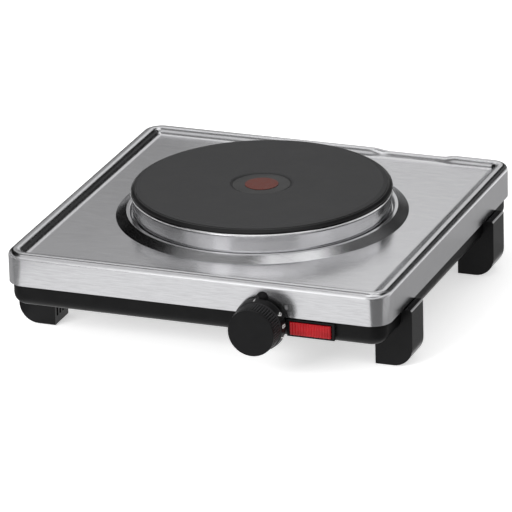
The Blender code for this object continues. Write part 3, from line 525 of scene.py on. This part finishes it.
def pan():
    half = (pan_high - pan_low) / 2
    rise = RIM_HEIGHT
    rim = [(0.0, pan_low.z - PANEL_Z)]
    rim += arc((rise, 0.0), rise, 180, 90, 9)                          # outer rounding
    rim += arc((5.2 * MM, rise - 7.0 * MM), 7.0 * MM, 90, 45, 7)       # over the crest
    rim += arc((15.34 * MM, 7.34 * MM), 7.34 * MM, 225, 270, 8)[1:]    # down to the panel
    profile = [(a, b + PANEL_Z) for a, b in rim]
    rows = outline_rows(half, PAN_CORNER, profile, PAN_MID)
    normals = [normal for _, normal in rounded_outline(half.x, half.y, PAN_CORNER)]
    sheet_rows, count = list(rows), len(normals)
    collar = filleted([(107.6 * MM, 0.0), (106.5 * MM, 0.0, 0.8 * MM),
                       (98.9 * MM, 4.1 * MM, 1.3 * MM),
                       (95.5 * MM, 4.15 * MM, 1.35 * MM), (95.45 * MM, 0.75 * MM, 0.5 * MM),
                       (88.0 * MM, 0.7 * MM)], 6)
    for radius, height in collar:
        rows.append([PLATE_AXIS + Vector((radius * math.cos(2 * math.pi * k / count),
                                          radius * math.sin(2 * math.pi * k / count), height))
                     for k in range(count)])
    bm = loft(rows)
    bmesh.ops.recalc_face_normals(bm, faces=bm.faces)
    flat_map(bm, sheet_rows, normals, profile)
    for vert in bm.verts:
        lift = (vert.co.z - PANEL_Z) / RIM_HEIGHT
        if vert.co.y > pan_high.y - 15 * MM and lift > 0:
            vert.co.z -= 1.6 * MM * rear_dip(vert.co.x) * min(1.4 * lift, 1.0)
    item = piece("pan_pressing", bm, "pan_steel", ["top_pan"], weighted=False)
    sheet = item.modifiers.new("sheet", "SOLIDIFY")
    sheet.thickness, sheet.offset = 0.8 * MM, -1.0
    item.modifiers.new("even_normals", "WEIGHTED_NORMAL").keep_sharp = True
    return item


def tray():
    low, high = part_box("base_tray")
    half, mid = (high - low) / 2, (low + high) / 2
    corners = [(0.0, high.z), (0.0, low.z, 8.5 * MM), (20 * MM, low.z)]
    outer = filleted(corners, 10)
    sheet = 1.2 * MM
    inner = filleted([(sheet, high.z), (sheet, low.z + sheet, 7.3 * MM),
                      (20 * MM, low.z + sheet)], 10)
    rows = outline_rows(half, 11.5 * MM, outer, mid)
    inside = outline_rows(half, 11.5 * MM, inner, mid)
    bm = loft([*reversed(inside[:-1]), *rows[:-1]], caps=(True, True))
    bmesh.ops.recalc_face_normals(bm, faces=bm.faces)
    cutters = []
    for row in (-55 * MM, 55 * MM):
        for k in range(-3, 4):
            x, y = PLATE_AXIS.x + k * 15 * MM, PLATE_AXIS.y + row
            cutters.append(box_tool((x - 2.5 * MM, y - 22.5 * MM, low.z - 5 * MM),
                                    (x + 2.5 * MM, y + 22.5 * MM, low.z + 5 * MM), 2.4 * MM))
    shaft, lamp, gland = middle("control_shaft"), middle("lamp_bezel"), middle("cable_gland")
    cutters.append(rod_tool((shaft.x, low.y, shaft.z), (0, 1, 0), 4.2 * MM, 20 * MM))
    cutters.append(box_tool((lamp.x - 15.3 * MM, low.y - 10 * MM, lamp.z - 4.1 * MM),
                            (lamp.x + 15.3 * MM, low.y + 10 * MM, lamp.z + 4.1 * MM)))
    cutters.append(rod_tool((gland.x, high.y, gland.z), (0, 1, 0), 5.6 * MM, 20 * MM))
    for corner in CORNERS:
        screw = middle("foot_screw_" + corner)
        cutters.append(rod_tool((screw.x, screw.y, low.z), (0, 0, 1), 2.5 * MM, 20 * MM))
    return piece("tray_pressing", carve(bm, cutters), "tray_paint", ["base_tray"])


# ---------------------------------------------------------------- feet
def foot(corner):
    name = "foot_" + corner
    low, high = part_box(name)
    side = 1 if high.x > 0 else -1
    tray_low, tray_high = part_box("base_tray")
    outer_x, inner_x = max(abs(low.x), abs(high.x)), min(abs(low.x), abs(high.x))
    gap = 0.3 * MM
    seat_x, seat_z = tray_high.x + gap, tray_low.z - gap
    corners = [(inner_x + 5 * MM, low.z), (outer_x, low.z, 14.5 * MM), (outer_x, high.z, 1.1 * MM),
               (seat_x, high.z, 0.5 * MM), (seat_x, seat_z, 8.8 * MM), (inner_x, seat_z),
               (inner_x, low.z)]
    outline = [(side * x, z) for x, z in filleted(corners, 9)]
    bm = bmesh.new()
    ends = [[bm.verts.new((x, y, z)) for x, z in outline] for y in (low.y, high.y)]
    for k in range(len(outline)):
        after = (k + 1) % len(outline)
        bm.faces.new((ends[0][k], ends[0][after], ends[1][after], ends[1][k]))
    bm.faces.new(list(reversed(ends[0])))
    bm.faces.new(ends[1])
    tidy(bm)
    mid_y = (low.y + high.y) / 2
    screw = middle("foot_screw_" + corner)
    cutters = [rod_tool((screw.x, mid_y, low.z), (0, 0, 1), 6.3 * MM, 4.2 * MM, 40),
               rod_tool((screw.x, mid_y, low.z), (0, 0, 1), 4.5 * MM, 29 * MM),
               rod_tool((screw.x, mid_y, low.z + 20 * MM), (0, 0, 1), 2.5 * MM, 30 * MM)]
    for k in (-1.5, -0.5, 0.5, 1.5):
        y = mid_y + k * 5.2 * MM
        ends_x = sorted((side * (inner_x - 1.0 * MM), side * (inner_x + 1.2 * MM)))
        cutters.append(box_tool((ends_x[0], y - 1.3 * MM, low.z + 6 * MM),
                                (ends_x[1], y + 1.3 * MM, low.z + 25 * MM)))
    return piece("moulded_" + name, carve(bm, cutters, 0.75 * MM), "foot_plastic", [name])


# ---------------------------------------------------------------- plate and ring
def plate():
    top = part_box("cast_iron_plate")[1].z - PANEL_Z
    profile = filleted([
        (0.0, top - 1.1 * MM), (20.9 * MM, top - 1.05 * MM, 2.2 * MM), (23.2 * MM, top, 2.0 * MM),
        (88.4 * MM, top, 2.5 * MM), (91.7 * MM, top - 0.62 * MM, 0.25 * MM),
        (92.0 * MM, top - 1.05 * MM, 0.2 * MM), (93.2 * MM, top - 1.25 * MM, 1.2 * MM),
        (95.0 * MM, top - 2.6 * MM, 0.8 * MM), (95.0 * MM, top - 3.6 * MM, 0.25 * MM),
        (92.6 * MM, top - 3.8 * MM, 0.2 * MM), (92.6 * MM, 2.2 * MM, 0.5 * MM),
        (88.6 * MM, 2.2 * MM, 0.5 * MM), (88.6 * MM, 13.5 * MM), (59.5 * MM, 13.5 * MM),
        (59.5 * MM, 8.5 * MM), (56.5 * MM, 8.5 * MM), (56.5 * MM, 13.5 * MM),
        (27.0 * MM, 13.5 * MM),
        (27.0 * MM, 8.5 * MM), (16.0 * MM, 8.5 * MM), (12.0 * MM, 3.4 * MM), (2.9 * MM, 3.4 * MM),
        (2.9 * MM, 15.0 * MM), (0.0, 15.0 * MM)], 5)
    return piece("turned_cast_plate", revolve(profile, PLATE_AXIS, steps=240), "cast_iron",
                 ["cast_iron_plate"])


def marker():
    low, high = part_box("marker_spot")
    radius = (high.x - low.x) / 2
    base, top = low.z - PANEL_Z, high.z - PANEL_Z
    profile = filleted([(0.0, top + 0.05 * MM), (radius * 0.7, top),
                        (radius, top - 0.05 * MM, 0.15 * MM), (radius, base), (0.0, base)], 4)
    return piece("enamel_marker_spot", revolve(profile, PLATE_AXIS, steps=120), "marker_enamel",
                 ["marker_spot"])


def ring():
    profile = filleted([
        (93.95 * MM, 17.6 * MM), (94.0 * MM, 18.2 * MM, 0.25 * MM),
        (95.5 * MM, 18.15 * MM, 1.3 * MM),
        (95.5 * MM, 16.6 * MM, 0.4 * MM), (94.75 * MM, 15.6 * MM, 0.9 * MM),
        (94.6 * MM, 12.0 * MM, 1.0 * MM), (94.35 * MM, 3.2 * MM, 1.0 * MM),
        (94.1 * MM, 1.0 * MM, 0.4 * MM),
        (89.6 * MM, 1.0 * MM, 0.2 * MM), (89.6 * MM, 1.8 * MM, 0.2 * MM),
        (93.2 * MM, 1.8 * MM, 0.5 * MM),
        (93.7 * MM, 14.0 * MM, 0.5 * MM), (93.95 * MM, 17.6 * MM)], 5)
    return piece("polished_spill_ring", revolve(profile[:-1], PLATE_AXIS, steps=240, closed=True),
                 "polished_steel", ["spill_ring"])


# ---------------------------------------------------------------- knob, pointer and lamp
RIBS, RIB_POINTS = 54, 10
FRONT = (0, -1, 0)
DIAL_START, DIAL_STEP = 301, 27        # degrees clockwise from the top, and between numbers
SKIRT_LOW, SKIRT_HIGH = (19.25 * MM, 1.0 * MM), (18.55 * MM, 5.9 * MM)


def knob():
    low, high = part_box("control_knob")
    centre = Vector(((low.x + high.x) / 2, high.y, (low.z + high.z) / 2))
    depth = high.y - low.y
    outer = filleted([
        (0.0, depth), (17.2 * MM, depth, 0.7 * MM), (17.25 * MM, depth - 1.7 * MM, 0.3 * MM),
        (17.4 * MM, depth - 2.2 * MM), (17.85 * MM, 7.4 * MM), (17.95 * MM, 6.6 * MM, 0.2 * MM),
        (18.5 * MM, 6.2 * MM, 0.25 * MM), (19.25 * MM, 1.0 * MM, 0.4 * MM),
        (19.25 * MM, 0.0, 0.25 * MM),
        (15.5 * MM, 0.0, 0.25 * MM)], 4)
    rows = []
    for (r0, h0), (r1, h1) in zip(outer, outer[1:]):
        pieces = 7 if abs(h1 - h0) > 3 * MM and r1 < 17.9 * MM else 1
        rows += [(r0 + (r1 - r0) * k / pieces, h0 + (h1 - h0) * k / pieces) for k in range(pieces)]
    rows += [outer[-1], (15.5 * MM, depth - 2.5 * MM), (6.2 * MM, depth - 2.5 * MM),
             (6.2 * MM, 0.9 * MM), (3.3 * MM, 0.9 * MM), (3.3 * MM, depth - 3.4 * MM),
             (0.0, depth - 3.4 * MM)]

    def ripple(angle, k):
        radius, height = rows[k]
        if radius < 16.9 * MM or not 6.7 * MM < height < depth - 0.9 * MM:
            return 0.0
        fade = min((height - 6.7 * MM) / (0.7 * MM), (depth - 0.9 * MM - height) / (1.0 * MM), 1.0)
        groove = abs(math.sin(angle * RIBS / 2)) ** 0.6
        return -0.85 * MM * fade * (1.0 - groove)

    bm = revolve(rows, centre, FRONT, steps=RIBS * RIB_POINTS, ripple=ripple)
    item = piece("ribbed_control_knob", bm, "knob_plastic", ["control_knob"], "control")
    return item, centre


def dial_marks(centre):
    """Generic numbers and an off mark printed round the knob's skirt."""
    def wrapped(name, text, clockwise, size):
        curve = bpy.data.curves.new(name, "FONT")
        curve.body, curve.size = text, size
        curve.align_x, curve.align_y = "CENTER", "CENTER"
        curve.extrude = 0.03 * MM
        curve.resolution_u = 6
        drawn = bpy.data.objects.new(name + "_text", curve)
        bpy.context.scene.collection.objects.link(drawn)
        bpy.context.view_layer.update()
        graph = bpy.context.evaluated_depsgraph_get()
        bm = bmesh.new()
        bm.from_mesh(drawn.evaluated_get(graph).to_mesh())
        bpy.data.objects.remove(drawn, do_unlink=True)
        slope = (SKIRT_HIGH[0] - SKIRT_LOW[0]) / (SKIRT_HIGH[1] - SKIRT_LOW[1])
        for vert in bm.verts:
            height = 3.4 * MM - vert.co.y
            radius = SKIRT_LOW[0] + slope * (height - SKIRT_LOW[1]) + vert.co.z + 0.02 * MM
            angle = math.radians(clockwise) + vert.co.x / SKIRT_LOW[0]
            vert.co = centre + Vector((radius * math.sin(angle), -height, radius * math.cos(angle)))
        return piece(name, tidy(bm), "knob_plastic", [], "control", weighted=False, look=PRINT)

    for number in range(1, 10):
        clockwise = DIAL_START - DIAL_STEP * number
        wrapped("dial_number_%d" % number, str(number), clockwise, 6.2 * MM)
    wrapped("dial_off_mark", "I", -8, 5.0 * MM)


def pointer():
    low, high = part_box("dial_pointer")
    centre = Vector(((low.x + high.x) / 2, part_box("top_pan")[0].y, (low.z + high.z) / 2))
    profile = filleted([(0.0, 3.0 * MM), (1.5 * MM, 2.95 * MM, 0.7 * MM),
                        (2.5 * MM, 2.0 * MM, 0.8 * MM),
                        (4.2 * MM, 0.75 * MM, 0.3 * MM), (4.3 * MM, 0.3 * MM, 0.1 * MM),
                        (2.1 * MM, 0.3 * MM), (2.1 * MM, -3.5 * MM, 0.2 * MM),
                        (1.6 * MM, -4.2 * MM),
                        (0.0, -4.2 * MM)], 5)
    return piece("domed_dial_pointer", revolve(profile, centre, FRONT, 64), "knob_plastic",
                 ["dial_pointer"])


def lamp():
    low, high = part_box("lamp_bezel")
    mid = (low + high) / 2
    seat_y = low.y + 2.8 * MM
    bezel = carve(box_tool(low, (high.x, seat_y, high.z)), [
        box_tool((mid.x - 15.7 * MM, low.y - 2 * MM, mid.z - 5.0 * MM),
                 (mid.x + 15.7 * MM, low.y + 2 * MM, mid.z + 5.0 * MM)),
        box_tool((mid.x - 14 * MM, low.y - 4 * MM, mid.z - 2.8 * MM),
                 (mid.x + 14 * MM, high.y + 4 * MM, mid.z + 2.8 * MM))], 0.45 * MM)
    piece("framed_lamp_bezel", bezel, "knob_plastic", ["lamp_bezel"])

    low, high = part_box("lamp_lens")
    flutes, samples = 15, 10
    bm = bmesh.new()
    columns = flutes * samples
    edge = [(-1.0, 0.0), (-0.985, 0.55), (-0.93, 0.92), (-0.84, 1.0), (0.84, 1.0), (0.93, 0.92),
            (0.985, 0.55), (1.0, 0.0)]
    half_z, mid_z = (high.z - low.z) / 2, (high.z + low.z) / 2
    grid = []
    for c in range(columns + 1):
        share = c / columns
        x = low.x + (high.x - low.x) * share
        ends = min(share, 1 - share) * columns / 3
        flute = abs(math.sin(math.pi * flutes * share)) ** 0.8
        column = []
        for z, height in edge:
            proud = 0.9 * MM * min(ends, 1.0) * height
            groove = 0.45 * MM * (1 - flute) * min(ends, 1.0)
            column.append(bm.verts.new((x, low.y + 0.9 * MM - proud + groove * (height > 0.9),
                                        mid_z + z * half_z)))
        grid.append(column)
    for first, second in zip(grid, grid[1:]):
        for k in range(len(edge) - 1):
            bm.faces.new((first[k], first[k + 1], second[k + 1], second[k]))
    rim = [e for e in bm.edges if len(e.link_faces) == 1]
    grown = bmesh.ops.extrude_edge_only(bm, edges=rim)["geom"]
    for vert in (g for g in grown if isinstance(g, bmesh.types.BMVert)):
        vert.co.y = high.y
    bmesh.ops.holes_fill(bm, edges=[e for e in bm.edges if len(e.link_faces) == 1], sides=0)
    piece("fluted_lamp_lens", tidy(bm), "lens_red", ["lamp_lens"])


# ---------------------------------------------------------------- fixings and mains entry
def pads_and_screws():
    for corner in CORNERS:
        low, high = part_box("foot_pad_" + corner)
        mid = (low + high) / 2
        radius = (high.x - low.x) / 2
        profile = filleted([(0.0, high.z - low.z), (radius, high.z - low.z, 0.2 * MM),
                            (radius, 0.0, 0.45 * MM), (radius - 2.2 * MM, 0.0, 0.2 * MM),
                            (radius - 2.6 * MM, 0.35 * MM, 0.2 * MM), (0.0, 0.35 * MM)], 4)
        piece("rubber_foot_pad_" + corner, revolve(profile, (mid.x, mid.y, low.z), steps=64),
              "rubber", ["foot_pad_" + corner])


def gland():
    low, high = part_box("cable_gland")
    mid = (low + high) / 2
    tray_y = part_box("base_tray")[1].y
    end, back = high.y - tray_y, low.y - tray_y
    bore = 3.9 * MM
    profile = filleted([
        (bore, end, 0.3 * MM), (4.6 * MM, end, 0.3 * MM), (4.75 * MM, end - 1.8 * MM, 0.2 * MM),
        (4.35 * MM, end - 2.1 * MM, 0.15 * MM), (4.4 * MM, end - 2.7 * MM, 0.15 * MM),
        (4.8 * MM, end - 3.0 * MM, 0.2 * MM), (4.95 * MM, 1.6 * MM, 0.4 * MM),
        (6.6 * MM, 1.5 * MM, 0.4 * MM),
        (6.6 * MM, 0.3 * MM, 0.1 * MM), (5.2 * MM, 0.3 * MM, 0.1 * MM), (5.2 * MM, back, 0.3 * MM),
        (bore, back, 0.3 * MM)], 4)
    sleeve = revolve(profile, (mid.x, tray_y, mid.z), (0, 1, 0), 72, closed=True)
    piece("moulded_cable_gland", sleeve, "rubber", ["cable_gland"])


def kept_nodes():
    """CAD nodes that stay: welded, shaded smooth by angle, and given their slot's look."""
    group = bpy.data.node_groups.new("smooth_by_angle", "GeometryNodeTree")
    group.interface.new_socket("Geometry", in_out="INPUT", socket_type="NodeSocketGeometry")
    group.interface.new_socket("Geometry", in_out="OUTPUT", socket_type="NodeSocketGeometry")
    make, link = group.nodes.new, group.links.new
    entry, leave = make("NodeGroupInput"), make("NodeGroupOutput")
    weld = make("GeometryNodeMergeByDistance")
    weld.inputs["Distance"].default_value = 0.000002
    angle = make("GeometryNodeInputMeshEdgeAngle")
    steep = make("FunctionNodeCompare")
    steep.operation = "LESS_THAN"
    link(angle.outputs["Unsigned Angle"], steep.inputs["A"])
    steep.inputs["B"].default_value = math.radians(32)
    faces, edges = make("GeometryNodeSetShadeSmooth"), make("GeometryNodeSetShadeSmooth")
    edges.domain = "EDGE"
    link(entry.outputs[0], weld.inputs["Geometry"])
    link(weld.outputs["Geometry"], faces.inputs["Geometry"])
    link(faces.outputs["Geometry"], edges.inputs["Geometry"])
    link(steep.outputs["Result"], edges.inputs["Shade Smooth"])
    link(edges.outputs["Geometry"], leave.inputs[0])
    slots = {part["node"]: part["material_slot"] for part in frame["record"]["subparts"]}
    for name, item in frame["nodes"].items():
        if item.hide_render:
            continue
        item.data.materials.clear()
        item.data.materials.append(LOOKS[slots[name]].material)
        item.modifiers.new("smooth", "NODES").node_group = group


pan()
tray()
for place in CORNERS:
    foot(place)
plate()
marker()
ring()
dial_marks(knob()[1])
pointer()
lamp()
pads_and_screws()
gland()
kept_nodes()


# ---------------------------------------------------------------- floor, light and camera
CARD_DISTANCE = 1.5
FLOOR_CARD_Z = 0.0012
FLOOR_REACH = 12
FLOOR_GLOW, AIR_STRENGTH, SOFTBOX_WATTS = 0.55, 0.724, 47.5
LENS_MM = 380.65
# elevation, height and width in degrees, then the strength of each card clockwise from the front
CARD_BANDS = (
    (3, 10, 15, (0.45, 1.9, 0.29, 0, 0, 0, 0, 0, 0, 0, 0, 0, 0.19, 0, 0.54, 0.9, 0.44, 0.51, 0.05,
                 0, 0.14, 0.15, 0.41, 0.34)),
    (15, 14, 15, (1.16, 1.51, 0.97, 0.51, 0.58, 0.67, 0.67, 0.66, 0.2, 0, 0.28, 0.69, 0.03, 0.16,
                  0, 1.16, 0.97, 0.77, 0.64, 0.61, 0.81, 1.07, 1.33, 1.43)),
    (29, 14, 15, (0.41, 1.11, 0.83, 0.76, 0.08, 0, 0, 0, 0, 0, 0.58, 0.99, 0, 0.03, 0.06, 0.25,
                  0.55, 0.83, 0.93, 1.26, 0.96, 0.31, 0.09, 0.21)),
    (45, 18, 30, (1.19, 0.78, 0, 0, 0, 1.19, 0, 0.14, 0, 0, 0.88, 1.02)),
    (67, 26, 60, (1.79, 0.9, 0.22, 1.49, 0, 1.25)),
    (89.9, 20, 20, (1.27,)),
)
# what the polished faces see of the floor: strength, then rectangles (x0, y0, x1, y1)
FLOOR_CARDS = (
    (1.05, ((-0.2, -0.9, 0.15, -0.152),)),
    (0.30, ((-0.9, -0.9, -0.2, -0.152),)),
    (0.20, ((0.15, -0.35, 0.35, -0.152),)),
    (0.00, ((0.15, -0.9, 0.9, -0.35), (0.35, -0.35, 0.9, -0.152))),
    (0.40, ((0.152, -0.152, 0.25, 0.152),)),
    (0.55, ((0.25, -0.152, 0.9, 0.152),)),
    (0.45, ((0.152, 0.152, 0.35, 0.35),)),
    (1.30, ((0.35, 0.152, 0.9, 0.9), (0.152, 0.35, 0.35, 0.9))),
    (0.90, ((-0.152, 0.16, 0.152, 0.3),)),
    (0.67, ((-0.152, 0.3, 0.152, 0.9),)),
    (0.50, ((-0.9, 0.152, -0.152, 0.9),)),
    (0.42, ((-0.9, -0.152, -0.152, 0.152),)),
)


def card(name, quads, strength):
    """A studio card that only reflections see: it neither shades nor lights matt faces."""
    data = bpy.data.meshes.new(name)
    data.from_pydata([point for quad in quads for point in quad], [],
                     [tuple(range(4 * k, 4 * k + 4)) for k in range(len(quads))])
    item = bpy.data.objects.new(name, data)
    bpy.context.scene.collection.objects.link(item)
    look = Look(name, (0, 0, 0), 1.0, Specular_IOR_Level=0.0, Emission_Color=(1, 1, 1, 1),
                Emission_Strength=strength)
    data.materials.append(look.material)
    for kind in ("camera", "diffuse", "shadow", "transmission"):
        setattr(item, "visible_" + kind, False)


def sky_card(name, azimuth, elevation, wide, high, strength):
    turn, rise = math.radians(azimuth), math.radians(elevation)
    outward = Vector((math.sin(turn) * math.cos(rise), math.cos(turn) * math.cos(rise),
                      math.sin(rise)))
    across = Vector((0, 0, 1)).cross(-outward).normalized()
    upward = (-outward).cross(across)
    across *= 1.02 * CARD_DISTANCE * math.tan(math.radians(wide) / 2) * max(math.cos(rise), 0.2)
    upward *= 1.02 * CARD_DISTANCE * math.tan(math.radians(high) / 2)
    centre = PLATE_AXIS + outward * CARD_DISTANCE
    card(name, [[centre - across - upward, centre + across - upward, centre + across + upward,
                 centre - across + upward]], strength)


def floor():
    """A plain pale floor, a little self-lit so that its shadows stay soft."""
    data = bpy.data.meshes.new("studio_floor")
    signs = ((-1, -1), (1, -1), (1, 1), (-1, 1))
    data.from_pydata([(x * FLOOR_REACH, y * FLOOR_REACH, 0) for x, y in signs], [],
                     [(0, 1, 2, 3)])
    item = bpy.data.objects.new("studio_floor", data)
    bpy.context.scene.collection.objects.link(item)
    look = Look("studio_floor_white", (0.86, 0.86, 0.86), 0.8, Specular_IOR_Level=0.2,
                Emission_Color=(1, 1, 1, 1), Emission_Strength=FLOOR_GLOW)
    look.rough(look.noise((2, 2, 2)), 0.75, 0.85)
    data.materials.append(look.material)


def studio():
    floor()
    for elevation, high, step, strengths in CARD_BANDS:
        for k, strength in enumerate(strengths):
            azimuth = -180 + k * step if len(strengths) > 1 else 0
            if strength:
                sky_card("sky_card_%d_%d" % (elevation, k), azimuth, elevation, step, high,
                         strength)
    for k, (strength, areas) in enumerate(FLOOR_CARDS):
        quads = [[(x0, y0, FLOOR_CARD_Z), (x1, y0, FLOOR_CARD_Z), (x1, y1, FLOOR_CARD_Z),
                  (x0, y1, FLOOR_CARD_Z)] for x0, y0, x1, y1 in areas]
        card("floor_card_%d" % k, quads, strength)
    light = bpy.data.lights.new("front_left_softbox", "AREA")
    light.shape, light.size, light.size_y, light.energy = "RECTANGLE", 1.4, 0.9, SOFTBOX_WATTS
    item = bpy.data.objects.new("front_left_softbox", light)
    bpy.context.scene.collection.objects.link(item)
    item.location = (-0.9, -2.0, 1.1)
    item.rotation_mode = "QUATERNION"
    item.rotation_quaternion = (PLATE_AXIS - item.location).to_track_quat("-Z", "Y")
    item.visible_camera = item.visible_glossy = False
    world = bpy.data.worlds.new("studio_air")
    world.use_nodes = True
    world.node_tree.nodes["Background"].inputs["Color"].default_value = (1, 1, 1, 1)
    world.node_tree.nodes["Background"].inputs["Strength"].default_value = AIR_STRENGTH
    bpy.context.scene.world = world
    world.cycles_visibility.glossy = False
    bpy.context.scene.view_settings.view_transform = "Standard"


def camera():
    data = bpy.data.cameras.new("photo_camera")
    data.sensor_width, data.lens = 36.0, LENS_MM
    data.clip_start, data.clip_end = 0.1, 60.0
    item = bpy.data.objects.new("photo_camera", data)
    bpy.context.scene.collection.objects.link(item)
    right, up, back = ((0.93554, 0.35232, -0.02520), (-0.10563, 0.34715, 0.93184),
                       (0.33706, -0.86911, 0.36199))
    place_at = PLATE_AXIS + Vector((1.32544, -3.43296, 1.39414))
    item.matrix_world = Matrix(((right[0], up[0], back[0], place_at.x),
                                (right[1], up[1], back[1], place_at.y),
                                (right[2], up[2], back[2], place_at.z), (0, 0, 0, 1)))
    bpy.context.scene.camera = item


studio()
camera()
bpy.context.view_layer.update()
